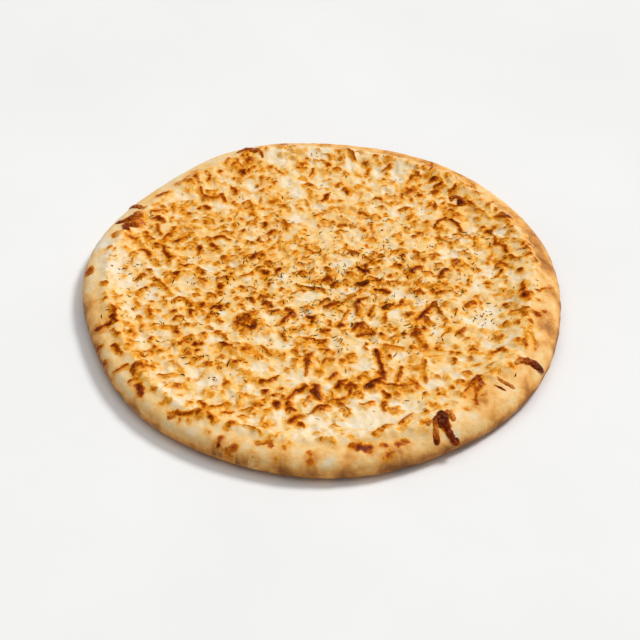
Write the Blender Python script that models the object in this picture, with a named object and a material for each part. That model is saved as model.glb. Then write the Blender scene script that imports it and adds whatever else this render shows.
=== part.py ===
# Round flatbread, 30 cm across, baked under a layer of melted cheese.
# Two pieces: the dough disc with its puffed rim, and the cheese with the toasted
# strands, blisters and dried herb flakes that are melted into it.
# Metres, +Z up, flat underside on z = 0. All sizes below are in millimetres.

import bpy
import bmesh
import math
import random
from mathutils import Vector, noise

MM = 0.001
SEED = 8

# ---- dough ----
OUTLINE_RADIUS = 150.5
OUTLINE_WOBBLE = {2: (-1.1, -1.1), 3: (0.2, 0.6), 5: (-0.7, 0.1), 6: (0.2, -0.5), 7: (-0.2, 0.8)}
OUTLINE_FLAT = 1.8         # flatter stretch at the back left
SIDE_HEIGHT = 7.2          # height of the widest line round the side
RIM_HEIGHT = 15.4          # crest of the rim
RIM_EXTRA = 2.2            # how much more it puffs up at the right
RIM_ROLL = 10.0            # from the outline in to the crest
RIM_ROLL_EXTRA = 4.0
SLOPE_WIDTH = 20.0         # from the crest in to the flat middle
SLOPE_EXTRA = 10.0
MIDDLE_HEIGHT = 11.2
FOOT_ROLL = 7.0            # from the outline in to the flat underside
DOUGH_SWELL = 0.7          # soft unevenness of the dough

# ---- cheese ----
CHEESE_GAP = 0.36
CHEESE_THICK = 2.9
CHEESE_EDGE = 1.1
CHEESE_TAPER = 12.0
CHEESE_INSET = 0.8
CHEESE_SWELL = 0.9
MARGIN = 8.5               # bare dough outside the cheese
MARGIN_FRONT = 4.5
MARGIN_CORNER = 9.5        # the wide bare stretch at the right front
MARGIN_TONGUE = 9.0        # cheese that runs out over that stretch
MARGIN_WAVE = 1.6

# ---- mesh ----
GRID = 20
RIM_RINGS = 8
FOOT_RINGS = 4

# toasted strands, each a run of x, y points, thickest first
STRANDS = [
    (71, -106, 74, -117, 77, -126), (68, -112, 66, -120, 64, -127), (114, -67, 121, -62, 129, -69),
    (84, -91, 88, -84, 94, -78), (94, -91, 98, -86, 97, -80), (100, -62, 106, -55, 111, -54),
    (32, -58, 35, -68, 37, -78), (5, -80, 11, -86, 18, -87), (25, -88, 30, -82, 36, -80),
    (42, -88, 48, -90, 55, -89), (43, -96, 50, -93, 56, -96), (6, -98, 12, -103, 17, -109),
    (48, -117, 53, -111, 55, -104), (69, -14, 62, -24, 58, -39), (69, -14, 74, -24, 76, -33),
    (18, -134, 25, -131, 32, -133), (12, -30, 17, -22, 20, -15), (124, -37, 131, -44, 129, -51),
    (72, -7, 77, -3, 83, -6), (36, -4, 40, -12, 44, -17), (-130, -20, -128, -26, -123, -30),
    (-138, -35, -132, -31, -125, -32), (-134, -50, -137, -56, -131, -62), (-124, -72, -119, -67, -112, -68),
    (-112, -80, -106, -86, -100, -88), (-88, -108, -78, -110, -68, -110), (-60, -104, -52, -102, -46, -104),
    (-51, -118, -41, -122, -33, -125), (-58, -131, -52, -134, -47, -132), (-52, -35, -46, -29, -41, -26),
    (-8, -60, -10, -66, -8, -74), (-25, -83, -33, -86, -37, -90), (-13, -88, -14, -94, -19, -98),
    (-6, -136, -5, -140, -3, -142), (-90, -40, -86, -46, -80, -48), (-133, 60, -126, 65, -118, 71),
    (-129, 60, -127, 54, -124, 50), (-127, 72, -121, 76, -114, 75), (-109, 93, -105, 95, -101, 93),
    (-97, 105, -92, 107, -87, 105), (-60, 130, -54, 135, -46, 134), (-57, 111, -53, 117, -49, 116),
    (-81, 98, -80, 91, -74, 87), (-78, 77, -74, 79, -70, 76), (-60, 100, -58, 95, -54, 95),
    (-66, 87, -63, 91, -61, 86), (-96, 33, -98, 28, -94, 22), (-96, 48, -92, 46, -90, 42),
    (-73, 47, -66, 49, -58, 46), (-117, 34, -111, 30, -107, 27), (-44, 27, -41, 32, -38, 34),
    (-93, 13, -90, 11, -88, 13), (-71, 10, -66, 8, -62, 5), (17, 140, 19, 134, 21, 128),
    (39, 122, 43, 126, 47, 129), (73, 113, 75, 108, 75, 102), (84, 117, 89, 118, 94, 115),
    (85, 99, 88, 103, 89, 108), (83, 88, 89, 90, 92, 83), (73, 62, 78, 67, 82, 69),
    (82, 66, 86, 61, 89, 57), (110, 72, 116, 74, 123, 71), (104, 54, 107, 57, 109, 53),
    (110, 46, 115, 42, 119, 36), (119, 33, 125, 31, 132, 36), (108, 10, 112, 17, 117, 22),
    (83, 24, 87, 28, 90, 24), (71, 10, 75, 15, 78, 19), (55, 17, 59, 21, 64, 22),
    (24, 4, 29, 8, 33, 8), (135, 1, 139, 4, 143, 6), (14, 98, 16, 95, 17, 91),
    (32, 90, 36, 90, 40, 86), (24, 72, 28, 73, 31, 71), (-13, 101, -10, 103, -7, 101),
    (-16, 124, -13, 128, -10, 133),
]
STRAND_RADII = (1.7, 1.1)
TOPPING_CLEAR = 0.7        # toppings stay this far above the underside of the cheese

# puffed, charred blisters: x, y, radius, height
BLISTERS = [
    (-53, 132, 8.0, 3.2), (-121, 64, 7.0, 2.4), (88, 84, 7.0, 3.0), (75, 105, 4.5, 1.8),
    (-27, 143, 3.5, 1.6), (12, -88, 6.0, 1.8), (31, -84, 5.5, 1.8), (50, -93, 6.5, 2.0),
    (90, -83, 6.5, 1.8), (72, -112, 5.0, 2.0), (-132, -33, 5.0, 1.8), (126, -44, 6.5, 1.8),
    (84, -57, 5.0, 1.5), (-92, 107, 5.0, 1.8), (115, 70, 7.0, 2.0),
]

HERB_COUNT = 40
HERB_SIZE = (3.2, 1.1, 0.7)
HERB_SINK = 1.2


def clear_file():
    for old in list(bpy.data.objects):
        bpy.data.objects.remove(old, do_unlink=True)


def swell(angle, centre, width):
    # 1 at the centre bearing, fading to 0 over the given width in degrees
    off = (math.degrees(angle) - centre + 180.0) % 360.0 - 180.0
    return math.exp(-(off / width) ** 2)


def outline(angle):
    r = OUTLINE_RADIUS
    for k, (c, s) in OUTLINE_WOBBLE.items():
        r += c * math.cos(k * angle) + s * math.sin(k * angle)
    return r - OUTLINE_FLAT * swell(angle, 132, 14)


def margin(angle):
    m = MARGIN + MARGIN_FRONT * swell(angle, -92, 26) + MARGIN_CORNER * swell(angle, -47, 15)
    m -= MARGIN_TONGUE * swell(angle, -61, 7)
    m += 4.0 * swell(angle, -8, 14) - 2.5 * swell(angle, 108, 10)
    around = Vector((3.0 * math.cos(angle), 3.0 * math.sin(angle), 5.0))
    return max(5.0, m + MARGIN_WAVE * noise.noise(around) * 2.0)


def cheese_edge(angle):
    return outline(angle) - margin(angle)


def dough_top(x, y):
    angle = math.atan2(y, x)
    puff = swell(angle, -18, 55)
    inward = max(0.0, outline(angle) - math.hypot(x, y))
    crest = RIM_HEIGHT + RIM_EXTRA * puff
    roll = RIM_ROLL + RIM_ROLL_EXTRA * puff
    if inward < roll:
        lean = 1.0 - inward / roll
        return SIDE_HEIGHT + (crest - SIDE_HEIGHT) * math.sqrt(max(0.0, 1.0 - lean * lean))
    t = min(1.0, (inward - roll) / (SLOPE_WIDTH + SLOPE_EXTRA * puff))
    fall = t * t * (3.0 - 2.0 * t)
    soft = DOUGH_SWELL * noise.noise(Vector((x / 26.0, y / 26.0, 1.5)))
    return crest + (MIDDLE_HEIGHT - crest) * fall + soft * min(1.0, (inward - roll) / 8.0)


def cheese_top(x, y):
    angle = math.atan2(y, x)
    inward = cheese_edge(angle) - math.hypot(x, y)
    t = max(0.0, min(1.0, inward / CHEESE_TAPER))
    thick = CHEESE_EDGE + (CHEESE_THICK - CHEESE_EDGE) * math.sin(t * math.pi / 2.0)
    lumps = noise.noise(Vector((x / 11.0, y / 11.0, 7.5))) + 0.5 * noise.noise(Vector((x / 5.0, y / 5.0, 2.5)))
    return dough_top(x, y) + CHEESE_GAP + thick + CHEESE_SWELL * lumps * t


def disc_point(i, j, cells, edge_inset):
    # square grid bent into a disc whose border is the edge of the cheese
    a = 2.0 * i / cells - 1.0
    b = 2.0 * j / cells - 1.0
    if a == 0.0 and b == 0.0:
        return 0.0, 0.0
    if abs(a) > abs(b):
        reach = abs(a)
        angle = math.pi / 4.0 * b / a + (math.pi if a < 0 else 0.0)
    else:
        reach = abs(b)
        angle = math.pi / 2.0 - math.pi / 4.0 * a / b + (math.pi if b < 0 else 0.0)
    reach = 1.0 - (1.0 - reach) ** 1.15
    r = reach * (cheese_edge(angle) - edge_inset)
    return r * math.cos(angle), r * math.sin(angle)


def border(cells):
    # grid indices once round the border, counter-clockwise from the right
    ring = [(cells, j) for j in range(cells)]
    ring += [(cells - i, cells) for i in range(cells)]
    ring += [(0, cells - j) for j in range(cells)]
    ring += [(i, 0) for i in range(cells)]
    return ring


def add_grid(bm, cells, height, edge_inset, facing_up):
    verts = {}
    for i in range(cells + 1):
        for j in range(cells + 1):
            x, y = disc_point(i, j, cells, edge_inset)
            verts[i, j] = bm.verts.new((x * MM, y * MM, height(x, y) * MM))
    for i in range(cells):
        for j in range(cells):
            a, b = verts[i, j], verts[i + 1, j]
            c, d = verts[i + 1, j + 1], verts[i, j + 1]
            same = (i + 0.5 - cells / 2.0) * (j + 0.5 - cells / 2.0) > 0.0
            for tri in ((a, b, c), (a, c, d)) if same else ((a, b, d), (b, c, d)):
                bm.faces.new(tri if facing_up else tri[::-1])
    return [verts[k] for k in border(cells)]


def new_object(name, bm, material=None):
    bmesh.ops.recalc_face_normals(bm, faces=bm.faces)
    mesh = bpy.data.meshes.new(name)
    bm.to_mesh(mesh)
    bm.free()
    obj = bpy.data.objects.new(name, mesh)
    bpy.context.scene.collection.objects.link(obj)
    if material:
        mesh.materials.append(material)
    return obj


def make_material(name, colour, roughness):
    mat = bpy.data.materials.new(name)
    mat.use_nodes = True
    shader = mat.node_tree.nodes["Principled BSDF"]
    shader.inputs["Base Color"].default_value = (*colour, 1.0)
    shader.inputs["Roughness"].default_value = roughness
    return mat


def make_bread():
    bm = bmesh.new()
    ring = add_grid(bm, GRID, dough_top, 0.0, True)
    bearings = [math.atan2(v.co.y, v.co.x) for v in ring]
    levels = []
    for step in range(1, RIM_RINGS + 1):
        left = (1.0 - step / RIM_RINGS) ** 2
        levels.append([(outline(a) - margin(a) * left, None) for a in bearings])
    for step in range(1, FOOT_RINGS + 1):
        turn = math.pi / 2.0 * step / FOOT_RINGS
        inset = FOOT_ROLL * (1.0 - math.cos(turn))
        z = SIDE_HEIGHT * (1.0 - math.sin(turn))
        levels.append([(outline(a) - inset, z) for a in bearings])
    for level in levels:
        lower = []
        for a, (r, z) in zip(bearings, level):
            x, y = r * math.cos(a), r * math.sin(a)
            lower.append(bm.verts.new((x * MM, y * MM, (dough_top(x, y) if z is None else z) * MM)))
        count = len(ring)
        for k in range(count):
            n = (k + 1) % count
            bm.faces.new((ring[k], lower[k], lower[n]))
            bm.faces.new((ring[k], lower[n], ring[n]))
        ring = lower
    bm.faces.new(ring[::-1])
    return new_object("bread", bm, make_material("bread", (0.78, 0.56, 0.31), 0.75))


def make_cheese():
    bm = bmesh.new()
    under = add_grid(bm, GRID, lambda x, y: dough_top(x, y) + CHEESE_GAP, 0.0, False)
    top = add_grid(bm, 2 * GRID, cheese_top, CHEESE_INSET, True)
    count = len(under)
    for k in range(count):
        n = (k + 1) % count
        t0, t1, t2 = top[2 * k], top[2 * k + 1], top[(2 * k + 2) % (2 * count)]
        bm.faces.new((under[k], t1, t0))
        bm.faces.new((under[k], under[n], t1))
        bm.faces.new((under[n], t2, t1))
    return new_object("cheese", bm, make_material("cheese", (0.88, 0.60, 0.25), 0.45))


def settle(x, y, z):
    # a point of a topping, kept over the cheese and out of the dough
    angle = math.atan2(y, x)
    pull = min(1.0, (cheese_edge(angle) - CHEESE_INSET - 0.4) / max(1.0, math.hypot(x, y)))
    x, y = x * pull, y * pull
    return Vector((x, y, max(z, dough_top(x, y) + CHEESE_GAP + TOPPING_CLEAR))) * MM


def make_strand(flat_points, thick, label):
    # a limp five-sided cord that lies half sunk in the cheese, thin at both ends
    points = [Vector(flat_points[k:k + 2]) for k in range(0, len(flat_points), 2)]
    bm = bmesh.new()
    rings = []
    last = len(points) - 1
    for k, p in enumerate(points):
        along = (points[min(k + 1, last)] - points[max(k - 1, 0)]).normalized()
        side = Vector((-along.y, along.x))
        size = thick * (0.5 if k in (0, last) else 1.0)
        z = cheese_top(p.x, p.y) + 0.35 * thick
        ring = []
        for n in range(5):
            turn = 2.0 * math.pi * n / 5 + math.pi / 2.0
            spot = p + side * size * math.cos(turn)
            ring.append(bm.verts.new(settle(spot.x, spot.y, z + 0.75 * size * math.sin(turn))))
        rings.append(ring)
    for low, high in zip(rings, rings[1:]):
        for n in range(5):
            m = (n + 1) % 5
            bm.faces.new((low[n], low[m], high[m]))
            bm.faces.new((low[n], high[m], high[n]))
    bm.faces.new(rings[0][::-1])
    bm.faces.new(rings[-1])
    return new_object(label, bm)


def make_blister(x, y, radius, height, label):
    bm = bmesh.new()
    bmesh.ops.create_icosphere(bm, subdivisions=1, radius=1.0)
    z = cheese_top(x, y)
    for v in bm.verts:
        px, py = x + v.co.x * radius, y + v.co.y * radius
        v.co = settle(px, py, min(z, cheese_top(px, py)) + max(v.co.z, -0.25) * height)
    return new_object(label, bm)


def make_herb(x, y, heading, size, label):
    # a flat dry leaf scrap, rooted in the cheese and tipped up at one end
    bm = bmesh.new()
    bmesh.ops.create_cube(bm, size=1.0)
    z = cheese_top(x, y)
    for v in bm.verts:
        a = v.co.x * HERB_SIZE[0] * size
        b = v.co.y * HERB_SIZE[1] * size * (1.0 - 0.5 * abs(v.co.x + 0.5))
        px = x + a * math.cos(heading) - b * math.sin(heading)
        py = y + a * math.sin(heading) + b * math.cos(heading)
        lift = HERB_SIZE[2] + 0.12 * a if v.co.z > 0.0 else -HERB_SINK
        v.co = settle(px, py, z + lift)
    return new_object(label, bm)


def herb_spots(rng):
    # thick over the middle band, sparse towards the edge, none crowded together
    spots = []
    while len(spots) < HERB_COUNT:
        x, y = rng.gauss(0, 62), rng.gauss(-2, 42)
        if math.hypot(x, y) > 122:
            continue
        if any(math.hypot(x - a, y - b) < 9 for a, b in spots):
            continue
        spots.append((x, y))
    return spots


def fuse(body, extras):
    group = bpy.data.collections.new("toppings")
    bpy.context.scene.collection.children.link(group)
    for obj in extras:
        bpy.context.scene.collection.objects.unlink(obj)
        group.objects.link(obj)
    union = body.modifiers.new("toppings", "BOOLEAN")
    union.operation = "UNION"
    union.operand_type = "COLLECTION"
    union.collection = group
    union.solver = "MANIFOLD"
    bpy.context.view_layer.update()
    baked = bpy.data.meshes.new_from_object(body.evaluated_get(bpy.context.evaluated_depsgraph_get()))
    body.modifiers.clear()
    old = body.data
    body.data = baked
    bpy.data.meshes.remove(old)
    baked.name = body.name
    for obj in list(group.objects):
        bpy.data.objects.remove(obj, do_unlink=True)
    bpy.data.collections.remove(group)


def shells(bm):
    seen = set()
    groups = []
    for start in bm.faces:
        if start in seen:
            continue
        seen.add(start)
        stack, group = [start], []
        while stack:
            face = stack.pop()
            group.append(face)
            for other in (f for e in face.edges if len(e.link_faces) == 2 for f in e.link_faces):
                if other not in seen:
                    seen.add(other)
                    stack.append(other)
        groups.append(group)
    return sorted(groups, key=len, reverse=True)


def clean(obj):
    # one closed shell: scraps that hang on by an edge and sealed pockets dropped
    bm = bmesh.new()
    bm.from_mesh(obj.data)
    bmesh.ops.triangulate(bm, faces=bm.faces)
    for group in shells(bm)[1:]:
        bmesh.ops.delete(bm, geom=group, context="FACES")
    bmesh.ops.recalc_face_normals(bm, faces=bm.faces)
    bm.to_mesh(obj.data)
    bm.free()


def centre(objects):
    # origin at the middle of the box, on the underside
    spots = [v.co for obj in objects for v in obj.data.vertices]
    mid_x = (min(p.x for p in spots) + max(p.x for p in spots)) / 2.0
    mid_y = (min(p.y for p in spots) + max(p.y for p in spots)) / 2.0
    low = min(p.z for p in spots)
    for obj in objects:
        for v in obj.data.vertices:
            v.co -= Vector((mid_x, mid_y, low))


def main():
    clear_file()
    rng = random.Random(SEED)
    bread = make_bread()
    cheese = make_cheese()
    toppings = []
    for n, points in enumerate(STRANDS):
        thick = STRAND_RADII[0] + (STRAND_RADII[1] - STRAND_RADII[0]) * n / len(STRANDS)
        toppings.append(make_strand(points, thick, "strand_%d" % n))
    for n, (x, y, radius, height) in enumerate(BLISTERS):
        toppings.append(make_blister(x, y, radius, height, "blister_%d" % n))
    for n, (x, y) in enumerate(herb_spots(rng)):
        size = rng.uniform(0.7, 1.15)
        toppings.append(make_herb(x, y, rng.uniform(0.0, math.tau), size, "herb_%d" % n))
    fuse(cheese, toppings)
    clean(cheese)
    centre([bread, cheese])


main()
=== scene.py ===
import math
import bpy
import numpy as np
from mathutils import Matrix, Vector


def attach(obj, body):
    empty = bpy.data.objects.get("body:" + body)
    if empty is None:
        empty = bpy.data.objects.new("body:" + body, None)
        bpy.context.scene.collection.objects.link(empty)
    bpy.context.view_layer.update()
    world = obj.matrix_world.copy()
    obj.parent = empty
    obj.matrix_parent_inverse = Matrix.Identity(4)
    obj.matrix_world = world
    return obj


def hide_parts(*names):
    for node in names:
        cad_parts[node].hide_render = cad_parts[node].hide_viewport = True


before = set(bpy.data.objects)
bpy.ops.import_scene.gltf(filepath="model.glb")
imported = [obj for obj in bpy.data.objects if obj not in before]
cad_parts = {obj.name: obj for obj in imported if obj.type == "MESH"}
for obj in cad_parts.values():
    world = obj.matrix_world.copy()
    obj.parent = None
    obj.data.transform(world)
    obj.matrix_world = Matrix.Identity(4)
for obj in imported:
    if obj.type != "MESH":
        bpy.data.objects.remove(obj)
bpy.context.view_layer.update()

# Round flatbread baked under melted cheese. Everything is worked out in millimetres from the
# middle of the dough, and moved to the part's own origin as each mesh is made.
partShift = (0.92, 1.16)
print("frame loaded")


def hexToLinear(hexText):
    parts = [int(hexText[i:i + 2], 16) / 255 for i in (1, 3, 5)]
    return [c / 12.92 if c <= 0.04045 else ((c + 0.055) / 1.055) ** 2.4 for c in parts] + [1.0]


def addNode(tree, kind, settings=None, values=None, links=None, stops=None):
    # one node with its settings, fixed inputs, links, and the colours of its ramp
    node = tree.nodes.new(kind)
    for name, value in (settings or {}).items():
        setattr(node, name, value)
    for k, (at, colour) in enumerate(stops or []):
        elements = node.color_ramp.elements
        stop = elements[k] if k < 2 else elements.new(at)
        stop.position = at
        stop.color = hexToLinear(colour)
    for name, value in (values or {}).items():
        node.inputs[name].default_value = value
    for name, source in (links or {}).items():
        tree.links.new(source, node.inputs[name])
    return node


def newMaterial(name):
    material = bpy.data.materials.new(name)
    material.use_nodes = True
    material.node_tree.nodes.clear()
    return material, material.node_tree


turnTables = {}


def softNoise(x, y, cell, seed):
    # smooth random hills about one cell across, roughly -1 to 1
    if seed not in turnTables:
        turnTables[seed] = np.random.default_rng(seed).uniform(0, 2 * np.pi, (256, 256))
    turns = turnTables[seed]
    u, v = x / cell + 90.5, y / cell + 90.5
    iu, iv = np.floor(u).astype(int), np.floor(v).astype(int)
    fu, fv = u - iu, v - iv
    su, sv = fu ** 3 * (fu * (6 * fu - 15) + 10), fv ** 3 * (fv * (6 * fv - 15) + 10)

    def corner(di, dj):
        turn = turns[(iu + di) % 256, (iv + dj) % 256]
        return np.cos(turn) * (fu - di) + np.sin(turn) * (fv - dj)

    near = corner(0, 0) * (1 - su) + corner(1, 0) * su
    far = corner(0, 1) * (1 - su) + corner(1, 1) * su
    return 1.5 * (near * (1 - sv) + far * sv)


def smoothStep(t):
    t = np.clip(t, 0, 1)
    return t * t * (3 - 2 * t)


def spread(values, count):
    # a few values laid out evenly over count places
    return np.interp(np.linspace(0, 1, count), np.linspace(0, 1, len(values)), values)


def swell(angle, centre, width):
    # a smooth bump round one bearing, in degrees
    off = (np.degrees(angle) - centre + 180) % 360 - 180
    return np.exp(-(off / width) ** 2)


# the dough: a flat disc with a low puffed rim, fuller on the right
dough = {
    "radius": 150.5,
    # waves per turn, each with its cosine and sine part: rounded from a fit to the photo's outline
    "wobble": {2: (-1.1, -1.1), 3: (0.2, 0.6), 5: (-0.7, 0.1), 6: (0.2, -0.5), 7: (-0.2, 0.8)},
    "flatBackLeft": (1.8, 132, 14),   # how deep, at what bearing and how wide in degrees
    "sideHeight": 7.2,
    "rimHeight": 15.4, "rimExtra": 2.2, "rimWave": 0.5,
    "fullest": (-18, 55),             # where the rim is fullest, and how wide that is
    "roll": 10.0, "rollExtra": 4.0,
    "slope": 20.0, "slopeExtra": 10.0,
    "middleHeight": 11.2, "middleWave": 0.7,
    "footRoll": 7.0,
    "dimple": 0.38,                   # shallow waves of the baked skin
    "segments": 900,
}

# the cheese: how far it stops short of the outline, and how thick it lies
cheese = {
    "thick": 3.2, "taper": 8.0,
    "margin": 8.5, "leastMargin": 5.0,
    # how much wider it is, or narrower below 0, at what bearing and how wide in degrees: the
    # front, the right front corner, a tongue that runs out over it, the right and the back
    "margins": [(4.5, -92, 26), (9.5, -47, 15), (-9.0, -61, 7), (4.0, -8, 14), (-2.5, 108, 10)],
    # how ragged the edge is: size of the waves, how far they reach, and their seed; and the
    # radius that the waves are read along
    "ragged": [(22, 1.6, 3), (6, 0.9, 4)], "raggedRadius": 150,
    "relief": 1.9,                    # how far the toasted spots stand up
    "cells": 312,                     # squares across the mesh
}


def outline(angle):
    depth, bearing, width = dough["flatBackLeft"]
    r = dough["radius"] - depth * swell(angle, bearing, width)
    for waves, (cosPart, sinPart) in dough["wobble"].items():
        r = r + cosPart * np.cos(waves * angle) + sinPart * np.sin(waves * angle)
    return r


def cheeseEdge(angle):
    margin = cheese["margin"]
    for amount, bearing, width in cheese["margins"]:
        margin = margin + amount * swell(angle, bearing, width)
    x, y = cheese["raggedRadius"] * np.cos(angle), cheese["raggedRadius"] * np.sin(angle)
    ragged = 0
    for cell, amount, seed in cheese["ragged"]:
        ragged = ragged + softNoise(x, y, cell, seed) * amount
    return outline(angle) - np.maximum(cheese["leastMargin"], margin + ragged)


def doughTop(x, y):
    d = dough
    angle = np.arctan2(y, x)
    puff = swell(angle, *d["fullest"])
    inward = np.maximum(0, outline(angle) - np.hypot(x, y))
    crest = d["rimHeight"] + d["rimExtra"] * puff + d["rimWave"] * softNoise(x, y, 40, 11)
    roll = d["roll"] + d["rollExtra"] * puff
    lean = np.clip(1 - inward / roll, 0, 1)
    rounded = d["sideHeight"] + (crest - d["sideHeight"]) * np.sqrt(np.maximum(0, 1 - lean ** 2))
    fall = smoothStep((inward - roll) / (d["slope"] + d["slopeExtra"] * puff))
    inner = crest + (d["middleHeight"] - crest) * fall
    soft = d["middleWave"] * softNoise(x, y, 26, 12) * np.clip((inward - roll) / 8, 0, 1)
    return np.where(inward < roll, rounded, inner + soft)


def skinWave(x, y, drop):
    wave = softNoise(x + drop, y - drop, 9, 51) + 0.4 * softNoise(x + 2 * drop, y - 2 * drop, 3, 52)
    return dough["dimple"] * wave


def doughSkin(x, y):
    inward = outline(np.arctan2(y, x)) - np.hypot(x, y)
    return doughTop(x, y) + skinWave(x, y, 0) * np.clip(inward / 3, 0, 1)


def meshObject(name, points, faces, material, values=None):
    mesh = bpy.data.meshes.new(name)
    points = np.asarray(points, dtype=float) + [partShift[0], partShift[1], 0]
    mesh.from_pydata((points * 0.001).tolist(), [], faces)
    mesh.update()
    for label, numbers in (values or {}).items():
        layer = mesh.attributes.new(label, "FLOAT", "POINT")
        layer.data.foreach_set("value", np.asarray(numbers, dtype=np.float32))
    mesh.materials.append(material)
    mesh.shade_smooth()
    thing = bpy.data.objects.new(name, mesh)
    bpy.context.scene.collection.objects.link(thing)
    return thing


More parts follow.
